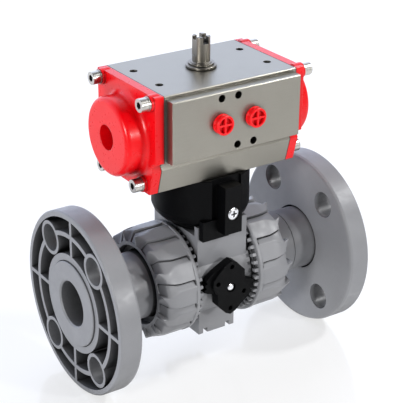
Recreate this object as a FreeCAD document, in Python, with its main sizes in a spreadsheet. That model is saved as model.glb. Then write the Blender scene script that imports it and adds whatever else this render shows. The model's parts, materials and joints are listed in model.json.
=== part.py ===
import FreeCAD, Part
import math
import os
import Sketcher
from FreeCAD import Placement, Rotation, Vector

# Pneumatic actuated ball valve: a plastic union ball valve between two
# loose flanges, driven by a rack-and-pinion spring-return actuator.
# Millimetres. The origin is the ball centre, where the pipe axis (X)
# meets the stem axis (Z). -Y is the side with the air ports.

os.makedirs("parts", exist_ok=True)
doc = FreeCAD.newDocument("actuated_valve")
sheet = doc.addObject("Spreadsheet::Sheet", "Dims")

SIZES = {
    # pipe run
    "flow_radius": 12.5,
    "mouth_radius": 15.9,
    "mouth_depth": 16.0,
    "flange_face": 95.9,
    "flange_thick": 15.3,
    "flange_radius": 60.5,
    "flange_rim_inner": 56.7,
    "flange_hub_radius": 32.9,
    "flange_bore": 22.6,
    "flange_floor": 4.2,
    "flange_edge_round": 2.0,
    "bolt_half_y": 27.8,
    "bolt_half_z": 35.0,
    "bolt_hole_radius": 9.0,
    "bolt_boss_wall": 2.3,
    "mid_rib_radius": 46.0,
    "mid_rib_thick": 3.0,
    "rib_thick": 2.6,
    "collar_radius": 28.0,
    "collar_thick": 9.0,
    "collar_proud": 1.3,
    "neck_radius": 21.5,
    "socket_radius": 22.2,
    "socket_end": 64.0,
    "socket_bore": 16.1,
    "socket_stop": 44.0,
    "spigot_radius": 16.0,
    # union joint
    "union_face": 36.15,
    "union_shoulder_radius": 25.6,
    "union_shoulder_end": 41.5,
    "thread_start": 23.0,
    "thread_pitch": 3.0,
    "thread_major": 30.0,
    "thread_depth": 1.6,
    "thread_flat": 0.9,
    "thread_flank": 0.6,
    "thread_play": 0.3,
    "nut_mouth": 23.5,
    "nut_end": 51.5,
    "nut_radius": 37.2,
    "nut_end_radius": 35.6,
    "nut_step": 2.0,
    "nut_rim_width": 3.2,
    "nut_twist": 5.5,
    "nut_collar_bore": 22.7,
    "crown_tip": 20.2,
    "crown_inner": 31.6,
    "crown_outer": 35.4,
    # valve body
    "barrel_radius": 30.0,
    "barrel_half": 21.0,
    "body_half": 36.0,
    "cavity_radius": 20.4,
    "cavity_half": 14.0,
    "seat_pocket_radius": 18.7,
    "seat_pocket_end": 23.5,
    "carrier_radius": 22.0,
    "tower_half_x": 19.0,
    "tower_half_y": 26.0,
    "tower_top": 36.0,
    "lug_top": 43.0,
    "lug_reach_x": 13.3,
    "lug_reach_y": 22.2,
    "post_half_x": 7.0,
    "post_outer": 25.8,
    "post_inner": 20.5,
    "post_top": 60.0,
    "foot_half_x": 14.0,
    "foot_half_y": 20.6,
    "foot_bottom": 39.0,
    "foot_slot_x": 8.8,
    "foot_slot_width": 3.4,
    "foot_slot_depth": 3.4,
    "lock_boss_radius": 7.0,
    "lock_boss_face": 30.5,
    # ball, seats and stem
    "ball_radius": 20.0,
    "ball_play": 0.05,
    "seat_front": 12.9,
    "seat_back": 20.6,
    "seat_outer": 18.6,
    "seat_seal_radius": 16.8,
    "seat_seal_wire": 1.4,
    "face_seal_radius": 17.6,
    "face_seal_wire": 1.37,
    "face_groove_depth": 2.75,
    "carrier_seal_wire": 0.6,
    "carrier_groove_start": 26.0,
    "carrier_groove_end": 28.2,
    "carrier_groove_depth": 1.5,
    "carrier_key_inner": 12.0,
    "carrier_key_outer": 14.8,
    "carrier_key_half": 1.6,
    "carrier_key_depth": 3.0,
    "tang_half": 3.0,
    "tang_bottom": 15.6,
    "stem_radius": 7.0,
    "stem_shoulder_radius": 9.5,
    "stem_shoulder_bottom": 20.7,
    "stem_shoulder_top": 23.8,
    "stem_square": 9.0,
    "stem_square_start": 40.0,
    "stem_top": 54.0,
    "stem_seal_low": 27.2,
    "stem_seal_high": 31.8,
    "stem_seal_wire": 0.9,
    # adapter between valve and actuator
    "adapter_radius": 32.0,
    "adapter_foot_radius": 20.4,
    "adapter_bottom": 36.1,
    "adapter_top": 74.9,
    "adapter_inner": 26.6,
    "adapter_deck": 69.0,
    "pad_half": 6.5,
    "pad_face": 38.2,
    "pad_bottom": 39.5,
    "pad_top": 71.8,
    "channel_half": 11.0,
    "channel_face": 28.2,
    "apron_long": 18.0,
    "apron_short": 2.0,
    "apron_top": 48.0,
    "adapter_neck": 12.6,
    "adapter_throat": 14.0,
    "adapter_socket": 13.0,
    "apron_face": 30.6,
    "apron_bottom": 34.5,
    "side_screw_height": 53.2,
    "side_screw_radius": 2.1,
    "side_screw_head": 4.0,
    "side_screw_cross": 2.1,
    "side_screw_slot": 0.55,
    "side_screw_sink": 1.5,
    "top_screw_spacing": 29.7,
    "top_screw_radius": 2.4,
    "top_screw_end": 81.0,
    "top_screw_head": 4.2,
    "top_screw_head_length": 5.0,
    "hex_key": 4.0,
    "hex_depth": 2.6,
    "coupling_radius": 10.5,
    "coupling_bottom": 43.0,
    "coupling_top": 68.0,
    "coupling_socket_top": 55.0,
    "drive_square": 11.0,
    "drive_top": 85.0,
    # actuator
    "act_half": 48.2,
    "act_top": 139.8,
    "act_bottom": 75.0,
    "act_side": 34.0,
    "act_waist_z": 97.2,
    "act_waist_y": 29.6,
    "act_skirt_z": 91.0,
    "act_skirt_y": 30.6,
    "act_foot_y": 26.3,
    "plate_face": 40.8,
    "plate_half": 47.0,
    "plate_top": 137.5,
    "plate_bottom": 98.0,
    "cylinder_radius": 26.0,
    "cylinder_height": 107.0,
    "port_half": 12.0,
    "port_height": 117.5,
    "port_radius": 4.9,
    "port_depth": 9.0,
    "plug_face": 4.6,
    "plug_radius": 6.4,
    "plug_waist": 5.9,
    "plug_dish": 4.9,
    "plug_bar_half": 0.6,
    "plug_length": 8.0,
    "plate_screw_rise": 16.0,
    "screw_hole_radius": 2.45,
    "tap_hole_radius": 2.1,
    "top_hole_x": 40.0,
    "top_hole_y": 15.0,
    "air_duct_y": 31.0,
    "air_duct_z": 126.0,
    "air_duct_radius": 1.8,
    "air_riser_radius": 1.4,
    "plate_hole_depth": 8.0,
    "top_hole_depth": 6.0,
    "low_hole_top": 81.6,
    "cap_hole_depth": 16.0,
    # pinion
    "gear_module": 1.5,
    "gear_teeth": 12,
    "gear_bottom": 95.5,
    "gear_top": 118.5,
    "pinion_bottom": 75.3,
    "low_bearing_z": 77.0,
    "low_seal_z": 79.6,
    "low_journal_top": 81.6,
    "pinion_boss": 10.9,
    "gear_relief": 7.0,
    "high_boss": 9.9,
    "high_boss_top": 130.4,
    "high_seal_z": 134.7,
    "high_bearing_z": 137.6,
    "high_journal_top": 139.7,
    "bearing_half": 1.0,
    "bearing_wall": 1.0,
    "pinion_seal_wire": 0.93,
    "collar_outer": 9.7,
    "collar_height": 2.0,
    "collar_step": 8.5,
    "snap_ring_z": 142.6,
    "snap_ring_half": 0.5,
    "snap_ring_outer": 8.2,
    "snap_groove_radius": 6.2,
    "flat_half": 5.0,
    "shaft_slot_half": 2.0,
    "shaft_slot_deep": 4.5,
    "shaft_slot_shallow": 2.0,
    "shaft_detail": 12.0,
    "lower_journal": 11.9,
    "upper_journal": 8.9,
    "journal_play": 0.1,
    "shaft_radius": 5.7,
    "shaft_top": 160.0,
    "collar_seat_radius": 7.0,
    # pistons and springs
    "piston_radius": 25.9,
    "piston_inner": 20.0,
    "piston_outer": 30.5,
    "piston_pocket": 17.2,
    "piston_pocket_depth": 5.5,
    "rack_reach": 19.2,
    "rack_half_height": 11.0,
    "spring_radius": 14.2,
    "spring_wire": 1.3,
    "spring_turns": 6,
    # end caps
    "gasket_thick": 0.5,
    "cap_thick": 6.0,
    "cap_boss_radius": 25.0,
    "cap_boss_face": 68.8,
    "cap_edge_round": 3.4,
    "cap_foot_round": 3.6,
    "cap_boss_base_face": 56.4,
    "cap_cavity": 17.6,
    "cap_cavity_end": 64.6,
    "cap_post": 11.6,
    "cap_hole": 8.1,
    "cap_screw_high_y": 28.5,
    "cap_screw_high_z": 135.3,
    "cap_screw_low_y": 19.6,
    "cap_screw_low_z": 80.4,
    "cap_screw_radius": 2.4,
    "cap_screw_head": 4.2,
    "cap_screw_head_length": 5.2,
    "cap_screw_pad": 5.1,
    "washer_thick": 1.1,
    "washer_radius": 4.5,
    "cap_screw_reach": 12.0,
    # lock
    "lock_back": 30.7,
    "lock_wing_face": 35.0,
    "lock_face": 37.2,
    "rivet_radius": 1.9,
    "rivet_head": 2.4,
    "rivet_end": 24.2,
    "lock_recess_radius": 3.3,
    "lock_hole_radius": 1.7,
}

for row, (name, value) in enumerate(SIZES.items(), start=1):
    sheet.set("A%d" % row, name)
    sheet.set("B%d" % row, str(value))
    sheet.setAlias("B%d" % row, name)
doc.recompute()


class Size:
    """A length that keeps its value and the sheet formula it comes from."""

    def __init__(self, value, formula):
        self.value = value
        self.formula = formula

    def _mix(self, other, sign, result):
        return Size(result, "(%s %s %s)" % (self.formula, sign, other.formula))

    def __add__(self, other):
        other = size(other)
        return self._mix(other, "+", self.value + other.value)

    def __radd__(self, other):
        return size(other) + self

    def __sub__(self, other):
        other = size(other)
        return self._mix(other, "-", self.value - other.value)

    def __rsub__(self, other):
        return size(other) - self

    def __mul__(self, other):
        other = size(other)
        return self._mix(other, "*", self.value * other.value)

    def __rmul__(self, other):
        return size(other) * self

    def __truediv__(self, other):
        other = size(other)
        return self._mix(other, "/", self.value / other.value)

    def __neg__(self):
        return size(0) - self


def size(item):
    """Turn a number into a Size; leave a Size as it is."""
    if isinstance(item, Size):
        return item
    text = repr(float(item))
    return Size(float(item), "(%s)" % text if item < 0 else text)


def S(name):
    """The named driving dimension from the sheet."""
    return Size(float(sheet.get(name)), "Dims." + name)


def V(name):
    """The plain value of a driving dimension."""
    return float(sheet.get(name))


def span(near, far, sign):
    """Two distances on the side given by sign, in rising order."""
    return sorted((size(near) * sign, size(far) * sign), key=lambda end: end.value)


def bind(item, prop, value):
    """Bind one property of an object to a sheet formula."""
    item.setExpression(prop, size(value).formula)


AXIS_TURN = {
    "X": Rotation(Vector(0, 0, 1), Vector(1, 0, 0)),
    "Y": Rotation(Vector(0, 0, 1), Vector(0, 1, 0)),
    "Z": Rotation(),
}


def put(item, turn, spot):
    """Set an object's rotation and bind its position."""
    item.Placement = Placement(Vector(), turn)
    for letter, value in zip("xyz", spot):
        bind(item, "Placement.Base." + letter, value)


def rod(name, axis, radius, start, end, centre=(0, 0)):
    """Cylinder along an axis; centre gives the other two coordinates in order."""
    item = doc.addObject("Part::Cylinder", name)
    bind(item, "Radius", radius)
    bind(item, "Height", size(end) - start)
    spot = list(centre)
    spot.insert("XYZ".index(axis), start)
    put(item, AXIS_TURN[axis], spot)
    return item


def block(name, low, high):
    """Box between two corners."""
    item = doc.addObject("Part::Box", name)
    for prop, a, b in zip(("Length", "Width", "Height"), low, high):
        bind(item, prop, size(b) - a)
    put(item, Rotation(), low)
    return item


def o_ring(name, axis, radius, wire, spot):
    """Round-section ring about an axis."""
    item = doc.addObject("Part::Torus", name)
    bind(item, "Radius1", radius)
    bind(item, "Radius2", wire)
    put(item, AXIS_TURN[axis], spot)
    return item


def joined(name, items):
    """Union of several objects."""
    item = doc.addObject("Part::MultiFuse", name)
    item.Shapes = items
    return item


def cut(name, base, tools):
    """One object with others taken away."""
    tool = tools[0] if len(tools) == 1 else joined(name + "_tools", tools)
    item = doc.addObject("Part::Cut", name)
    item.Base = base
    item.Tool = tool
    return item


def shared(name, base, tool):
    """The volume two objects have in common."""
    item = doc.addObject("Part::Common", name)
    item.Base = base
    item.Tool = tool
    return item


def outline_sketch(sketch, points):
    """Closed straight-sided outline, every corner bound to the sheet."""
    count = len(points)
    corners = [Vector(size(a).value, size(b).value, 0) for a, b in points]
    for i in range(count):
        sketch.addGeometry(Part.LineSegment(corners[i], corners[(i + 1) % count]))
    for i in range(count):
        link = Sketcher.Constraint("Coincident", i, 2, (i + 1) % count, 1)
        sketch.addConstraint(link)
    for i, pair in enumerate(points):
        for kind, value in zip(("DistanceX", "DistanceY"), pair):
            rule = Sketcher.Constraint(kind, -1, 1, i, 1, size(value).value)
            index = sketch.addConstraint(rule)
            if isinstance(value, Size):
                sketch.setExpression("Constraints[%d]" % index, value.formula)


def turned(name, axis, outline):
    """Turned body: outline is a list of (distance along axis, radius)."""
    body = doc.addObject("PartDesign::Body", name)
    sketch = body.newObject("Sketcher::SketchObject", name + "_outline")
    role = "XZ_Plane" if axis == "Z" else "XY_Plane"
    plane = [f for f in body.Origin.OriginFeatures if f.Role == role][0]
    sketch.AttachmentSupport = (plane, [""])
    sketch.MapMode = "FlatFace"
    points = outline if axis == "X" else [(r, a) for a, r in outline]
    outline_sketch(sketch, points)
    turn = body.newObject("PartDesign::Revolution", name + "_turn")
    turn.Profile = sketch
    turn.ReferenceAxis = (sketch, ["H_Axis" if axis == "X" else "V_Axis"])
    turn.Angle = 360
    sketch.Visibility = False
    body.Tip = turn
    return body


PRISM_TURN = {
    "X": Rotation(Vector(1, 1, 1), 120),
    "Y": Rotation(Vector(1, 0, 0), 90),
    "Z": Rotation(),
}
PRISM_DIRECTION = {"X": Vector(1, 0, 0), "Y": Vector(0, 1, 0), "Z": Vector(0, 0, 1)}


def prism(name, axis, points, low, high):
    """Straight prism along an axis; points are the other two coordinates."""
    sketch = doc.addObject("Sketcher::SketchObject", name + "_outline")
    sketch.Placement = Placement(Vector(), PRISM_TURN[axis])
    outline_sketch(sketch, points)
    item = doc.addObject("Part::Extrusion", name)
    item.Base = sketch
    item.DirMode = "Custom"
    item.Dir = PRISM_DIRECTION[axis]
    item.Solid = True
    bind(item, "LengthFwd", high)
    bind(item, "LengthRev", -size(low))
    return item


def worked(name, shape):
    """Object whose form comes from a calculation rather than a sketch."""
    item = doc.addObject("Part::Feature", name)
    item.Shape = shape
    return item


NODES = []


def node(item, label, placement=None):
    """Register a finished sub-part under its own name."""
    item.Label = label
    if placement is not None:
        item.Placement = placement.multiply(item.Placement)
    NODES.append(item)
    return item


HALF_TURN = Placement(Vector(), Rotation(Vector(0, 0, 1), 180))
SIDES = (("right", None), ("left", HALF_TURN))


def groove_ridges(start, count, crest, depth, flat, flank):
    """Corner list of evenly spaced thread ridges standing up to the crest radius."""
    corners = []
    for k in range(count):
        at = start + S("thread_pitch") * k
        corners.append((at, crest - depth))
        corners.append((at + flank, crest))
        corners.append((at + flank + flat, crest))
        corners.append((at + flank * 2 + flat, crest - depth))
    return corners


# ---------------------------------------------------------------- pipe run

def make_flange(side, placement):
    """Loose backing flange, ribbed on its outer side."""
    tag = "flange_" + side
    face = S("flange_face")
    back = face - S("flange_thick")
    floor = back + S("flange_floor")
    rim = S("flange_edge_round")
    disc = turned(tag + "_disc", "X", [
        (back, S("flange_bore")), (back, S("flange_radius") - rim),
        (back + rim * 0.3, S("flange_radius") - rim * 0.3), (back + rim, S("flange_radius")),
        (face - 0.8, S("flange_radius")), (face, S("flange_radius") - 0.8),
        (face, S("collar_radius") + 0.4),
        (face + S("collar_proud") - S("collar_thick"), S("collar_radius") + 0.4),
        (face + S("collar_proud") - S("collar_thick"), S("flange_bore")),
    ])
    hollow = turned(tag + "_hollow", "X", [
        (floor, S("flange_hub_radius")), (floor, S("flange_rim_inner")),
        (face + 1, S("flange_rim_inner")), (face + 1, S("flange_hub_radius")),
    ])
    keep = [turned(tag + "_mid_rib", "X", [
        (floor - 1, S("mid_rib_radius") - S("mid_rib_thick") / 2),
        (floor - 1, S("mid_rib_radius") + S("mid_rib_thick") / 2),
        (face, S("mid_rib_radius") + S("mid_rib_thick") / 2),
        (face, S("mid_rib_radius") - S("mid_rib_thick") / 2),
    ])]
    half = S("rib_thick") / 2
    reach = S("flange_rim_inner") + 1
    near = S("flange_hub_radius") - 1
    for k, sign in enumerate((1, -1)):
        a, b = (near, reach) if sign > 0 else (-reach, -near)
        keep.append(block("%s_rib_y%d" % (tag, k), (floor - 1, a, -half), (face, b, half)))
        keep.append(block("%s_rib_z%d" % (tag, k), (floor - 1, -half, a), (face, half, b)))
    holes = []
    for k, (sy, sz) in enumerate(((1, 1), (1, -1), (-1, 1), (-1, -1))):
        spot = (S("bolt_half_y") * sy, S("bolt_half_z") * sz)
        wall = S("bolt_hole_radius") + S("bolt_boss_wall")
        keep.append(rod("%s_boss%d" % (tag, k), "X", wall, floor - 1, face, spot))
        holes.append(rod("%s_hole%d" % (tag, k), "X", S("bolt_hole_radius"),
                         back - 1, face + 1, spot))
    ribs = joined(tag + "_ribs", keep)
    pockets = cut(tag + "_pockets", hollow, [ribs])
    made = cut(tag, disc, [pockets] + holes)
    return node(made, tag, placement)


def make_stub(side, placement):
    """Stub with a sealing collar; its spigot is cemented into the end connector."""
    face = S("flange_face") + S("collar_proud")
    made = turned("stub_collar_" + side, "X", [
        (S("socket_stop") + 0.3, S("flow_radius")),
        (S("socket_stop") + 0.3, S("spigot_radius") - 0.8),
        (S("socket_stop") + 1.1, S("spigot_radius")),
        (S("socket_end") + 0.1, S("spigot_radius")), (S("socket_end") + 0.1, S("neck_radius")),
        (face - S("collar_thick") + 0.1, S("neck_radius")),
        (face - S("collar_thick") + 0.1, S("collar_radius")),
        (face - 0.5, S("collar_radius")), (face, S("collar_radius") - 0.5),
        (face, S("mouth_radius")), (face - 1.0, S("mouth_radius") - 1.0),
        (face - S("mouth_depth"), S("mouth_radius") - 1.0),
        (face - S("mouth_depth") - 5, S("flow_radius")),
    ])
    return node(made, "stub_collar_" + side, placement)


def make_connector(side, placement):
    """Union end connector with a cemented socket."""
    made = turned("end_connector_" + side, "X", [
        (S("union_face"), S("flow_radius")), (S("union_face"), S("union_shoulder_radius") - 0.6),
        (S("union_face") + 0.6, S("union_shoulder_radius")),
        (S("union_shoulder_end"), S("union_shoulder_radius")),
        (S("union_shoulder_end"), S("socket_radius")),
        (S("socket_end") - 1, S("socket_radius")), (S("socket_end"), S("socket_radius") - 1),
        (S("socket_end"), S("socket_bore")), (S("socket_stop"), S("socket_bore")),
        (S("socket_stop"), S("flow_radius")),
    ])
    return node(made, "end_connector_" + side, placement)


PANELS = 14
CROWN_TEETH = 42
THREAD_RIDGES = 4


def ratchet_wire(x, outer, step, turn):
    """Saw-toothed outline of the nut grip in the plane at x."""
    corners = []
    for k in range(PANELS):
        start = math.radians(360.0 * k / PANELS + turn)
        for share, radius in ((0.0, outer), (0.5, outer - 0.25 * step), (0.93, outer - step)):
            angle = start + 2 * math.pi / PANELS * share
            corners.append(Vector(x, radius * math.cos(angle), radius * math.sin(angle)))
    corners.append(corners[0])
    return Part.makePolygon(corners)


def make_nut(side, placement):
    """Union nut: stepped grip panels outside, thread ridges inside, crown teeth."""
    mouth, end = V("nut_mouth"), V("nut_end")
    rim = mouth + V("nut_rim_width")
    outer, tail, step = V("nut_radius"), V("nut_end_radius"), V("nut_step")
    twist = V("nut_twist")
    span = end - rim
    sections = [
        ratchet_wire(rim, outer, step, 0.0),
        ratchet_wire(rim + span * 0.30, outer, step, 0.0),
        ratchet_wire(rim + span * 0.62, outer - 0.3, step, -twist),
        ratchet_wire(end - 1.8, tail, step, -twist),
        ratchet_wire(end, tail - 1.6, step, -twist),
    ]
    grip = Part.makeLoft(sections, True, True)
    ring = Part.makeCylinder(outer, rim - mouth, Vector(mouth, 0, 0), Vector(1, 0, 0))
    ring = ring.makeChamfer(0.6, [ring.Edges[0], ring.Edges[2]])
    crown = Part.makeCylinder(V("crown_outer"), mouth - V("crown_tip") + 0.5,
                              Vector(V("crown_tip"), 0, 0), Vector(1, 0, 0))
    gaps = []
    pitch = 360.0 / CROWN_TEETH
    tooth = 2 * math.pi * V("crown_outer") / CROWN_TEETH
    for k in range(CROWN_TEETH):
        gap = Part.makeBox(mouth - V("crown_tip"), tooth * 0.52, V("crown_outer"),
                           Vector(V("crown_tip") - 0.1, -tooth * 0.26, 10.0))
        gap.rotate(Vector(0, 0, 0), Vector(1, 0, 0), pitch * (k + 0.5))
        gaps.append(gap)
    crown = crown.cut(gaps)
    shape = ring.fuse([grip, crown])
    shape = shape.cut(nut_inside())
    return node(worked("union_nut_" + side, shape.removeSplitter()),
                "union_nut_" + side, placement)


def nut_inside():
    """The space inside the nut: crown bore, thread, shoulder room and neck hole."""
    play = V("thread_play")
    root = V("thread_major") + play
    depth = V("thread_depth")
    flat, flank = V("thread_flat"), V("thread_flank")
    pitch = V("thread_pitch")
    crest = root - depth
    corners = [(V("crown_tip") - 1, 0.0), (V("crown_tip") - 1, V("crown_inner")),
               (V("nut_mouth"), V("crown_inner")), (V("nut_mouth") + 0.5, root)]
    first = V("thread_start") + 2 * flank + flat + (pitch - 2 * flank - flat) / 2
    for k in range(THREAD_RIDGES - 1):
        mid = first + pitch * k
        corners += [(mid - 0.85, root), (mid - 0.25, crest), (mid + 0.25, crest),
                    (mid + 0.85, root)]
    shoulder = V("body_half") + 0.1
    corners += [(shoulder, root), (shoulder, V("union_shoulder_radius") + 0.4),
                (V("union_shoulder_end") + 0.2, V("union_shoulder_radius") + 0.4),
                (V("union_shoulder_end") + 0.2, V("nut_collar_bore")),
                (V("nut_end") + 1, V("nut_collar_bore")), (V("nut_end") + 1, 0.0)]
    corners.append(corners[0])
    wire = Part.makePolygon([Vector(x, r, 0) for x, r in corners])
    return Part.Face(wire).revolve(Vector(0, 0, 0), Vector(1, 0, 0), 360)


# -------------------------------------------------------------- valve body

def make_valve_body():
    """Barrel with threaded ends, stem tower, foot and lock boss."""
    end = S("body_half")
    ridge_start = S("thread_start")
    minor = S("thread_major") - S("thread_depth")
    right = groove_ridges(ridge_start, THREAD_RIDGES, S("thread_major"),
                          S("thread_depth"), S("thread_flat"), S("thread_flank"))
    left = [(-x, r) for x, r in reversed(right)]
    barrel = turned("body_barrel", "X", [(-end, 0), (-end, minor)] + left + [
        (-S("barrel_half"), minor), (-S("barrel_half"), S("barrel_radius")),
        (S("barrel_half"), S("barrel_radius")), (S("barrel_half"), minor),
    ] + right + [(end, minor), (end, 0)])
    tower = block("body_tower", (-S("tower_half_x"), -S("tower_half_y"), 0),
                  (S("tower_half_x"), S("tower_half_y"), S("tower_top")))
    foot = block("body_foot", (-S("foot_half_x"), -S("foot_half_y"), -S("foot_bottom")),
                 (S("foot_half_x"), S("foot_half_y"), 0))
    boss = rod("body_lock_boss", "Y", S("lock_boss_radius"), -S("lock_boss_face"), -20, (0, 0))
    solids = [barrel, tower, foot, boss]
    holes = []
    for k, sign in enumerate((-1, 1)):
        a, b = span(S("post_inner"), S("post_outer"), sign)
        solids.append(block("body_post%d" % k, (-S("post_half_x"), a, S("tower_top") - 1),
                            (S("post_half_x"), b, S("post_top"))))
        holes.append(rod("body_post_hole%d" % k, "Y", S("side_screw_radius") + 0.05,
                         a - 1, b + 1, (0, S("side_screw_height"))))
        for m, end_sign in enumerate((-1, 1)):
            near_x, near_y = S("lug_reach_x") * end_sign, S("tower_half_y") * sign
            far_x, far_y = S("tower_half_x") * end_sign, S("lug_reach_y") * sign
            solids.append(prism("body_lug%d%d" % (k, m), "Z",
                                [(near_x, near_y), (far_x, near_y), (far_x, far_y)],
                                S("tower_top") - 1, S("lug_top")))
        x = S("foot_slot_x") * sign
        holes.append(block("body_foot_slot%d" % k,
                           (x - S("foot_slot_width") / 2, -30, -S("foot_bottom") - 1),
                           (x + S("foot_slot_width") / 2, 30,
                            S("foot_slot_depth") - S("foot_bottom"))))
    bore = turned("body_bore", "X", [
        (-end - 1, 0), (-end - 1, S("flow_radius")),
        (-S("seat_pocket_end"), S("flow_radius")),
        (-S("seat_pocket_end"), S("seat_pocket_radius")),
        (-S("cavity_half"), S("seat_pocket_radius")), (-S("cavity_half"), S("cavity_radius")),
        (S("cavity_half"), S("cavity_radius")), (S("cavity_half"), S("carrier_radius") + 0.1),
        (end + 1, S("carrier_radius") + 0.1), (end + 1, 0),
    ])
    groove = face_groove("body_face_groove", -1)
    stem_way = turned("body_stem_way", "Z", [
        (10, 0), (10, S("stem_shoulder_radius") + 0.2),
        (S("stem_shoulder_top") + 0.2, S("stem_shoulder_radius") + 0.2),
        (S("stem_shoulder_top") + 0.2, S("stem_radius") + 0.1),
        (S("tower_top") + 1, S("stem_radius") + 0.1), (S("tower_top") + 1, 0),
    ])
    rivet_hole = rod("body_rivet_hole", "Y", S("rivet_radius") + 0.05,
                     -S("lock_boss_face") - 1, -24, (0, 0))
    shell = joined("body_solids", solids)
    made = cut("valve_body", shell, [bore, groove, stem_way, rivet_hole] + holes)
    return node(made, "valve_body")


def face_groove(name, sign):
    """Groove for the O-ring in an end face."""
    face = S("body_half")
    low = S("face_seal_radius") - S("face_seal_wire") - 0.05
    high = S("face_seal_radius") + S("face_seal_wire") + 0.05
    outline = [(face - S("face_groove_depth"), low), (face - S("face_groove_depth"), high),
               (face + 1, high), (face + 1, low)]
    return turned(name, "X", [(a * sign, r) for a, r in outline])


def make_carrier():
    """Screwed-in seat carrier closing the right-hand side of the cavity."""
    ring = turned("carrier_ring", "X", [
        (S("cavity_half") + 0.3, S("seat_pocket_radius")),
        (S("cavity_half") + 0.3, S("carrier_radius")),
        (S("carrier_groove_start"), S("carrier_radius")),
        (S("carrier_groove_start"), S("carrier_radius") - S("carrier_groove_depth")),
        (S("carrier_groove_end"), S("carrier_radius") - S("carrier_groove_depth")),
        (S("carrier_groove_end"), S("carrier_radius")),
        (S("body_half"), S("carrier_radius")), (S("body_half"), S("flow_radius")),
        (S("seat_pocket_end"), S("flow_radius")),
        (S("seat_pocket_end"), S("seat_pocket_radius")),
    ])
    groove = face_groove("carrier_face_groove", 1)
    slots = []
    for k, sign in enumerate((1, -1)):
        a, b = span(S("carrier_key_inner"), S("carrier_key_outer"), sign)
        half = S("carrier_key_half")
        slots.append(block("carrier_key%d" % k, (S("body_half") - S("carrier_key_depth"), a, -half),
                           (S("body_half") + 1, b, half)))
    return node(cut("seat_carrier", ring, [groove] + slots), "seat_carrier")


def make_ball():
    """Ball with its flow bore across the pipe (closed) and a stem slot on top."""
    sphere = doc.addObject("Part::Sphere", "ball_sphere")
    bind(sphere, "Radius", S("ball_radius"))
    bore = rod("ball_bore", "Y", S("flow_radius"), -25, 25, (0, 0))
    slot = block("ball_slot", (-25, -S("tang_half") - 0.1, S("tang_bottom") - 0.2),
                 (25, S("tang_half") + 0.1, 25))
    return node(cut("ball", sphere, [bore, slot]), "ball")


def make_seat(side, placement):
    """Ball seat ring, hollowed to the ball's radius."""
    ring = turned("seat_ring_" + side, "X", [
        (S("seat_front"), S("flow_radius") + 0.4), (S("seat_front"), S("seat_outer")),
        (S("seat_back"), S("seat_outer")), (S("seat_back"), S("flow_radius") + 0.4),
    ])
    sphere = doc.addObject("Part::Sphere", "seat_sphere_" + side)
    bind(sphere, "Radius", S("ball_radius") + S("ball_play"))
    return node(cut("ball_seat_" + side, ring, [sphere]), "ball_seat_" + side, placement)


def stem_groove(centre):
    """Corner list of one O-ring groove on the stem."""
    half = S("stem_seal_wire") + 0.2
    floor = S("stem_radius") - S("stem_seal_wire") * 2 + 0.05
    return [(centre - half, S("stem_radius")), (centre - half, floor),
            (centre + half, floor), (centre + half, S("stem_radius"))]


def make_stem():
    """Stem: tang in the ball, shoulder, two seal grooves and a drive square."""
    low, high = S("stem_seal_low"), S("stem_seal_high")
    round_part = turned("stem_round", "Z", [
        (S("stem_shoulder_bottom"), 0), (S("stem_shoulder_bottom"), S("stem_shoulder_radius")),
        (S("stem_shoulder_top"), S("stem_shoulder_radius")),
        (S("stem_shoulder_top"), S("stem_radius")),
    ] + stem_groove(low) + stem_groove(high) + [
        (S("stem_square_start"), S("stem_radius")), (S("stem_square_start"), 0),
    ])
    tang = shared("stem_tang",
                  block("stem_tang_bar", (-9, -S("tang_half"), S("tang_bottom")),
                        (9, S("tang_half"), S("stem_shoulder_bottom") + 1)),
                  rod("stem_tang_round", "Z", S("stem_shoulder_radius"), 10, 30))
    half = S("stem_square") / 2
    square = shared("stem_square_trim",
                    block("stem_square_bar", (-half, -half, S("stem_square_start") - 1),
                          (half, half, S("stem_top"))),
                    rod("stem_square_round", "Z", half * 1.3, 30, 60))
    return node(joined("stem", [round_part, tang, square]), "stem")


# ------------------------------------------------------------------- lock

WING_HALF = ((0.4, 19.4), (4.0, 17.6), (10.4, 10.6), (10.6, 2.6), (17.2, 0.6), (19.4, -0.6),
             (19.3, -2.2), (17.9, -2.6), (17.7, -3.8), (19.0, -4.2), (18.7, -5.8), (17.3, -6.0),
             (16.9, -7.2), (18.0, -7.8), (17.2, -9.3), (12.4, -13.2), (3.8, -17.6))
FACE_HALF = ((0.4, 19.4), (4.0, 17.6), (10.4, 10.6), (10.6, 2.6), (13.9, -2.6), (13.8, -7.8),
             (9.6, -12.6), (3.8, -17.6))
LOCK_HOLES = ((0.4, 14.9), (-10.2, 5.2), (-0.4, -14.9), (10.2, -5.2))


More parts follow.
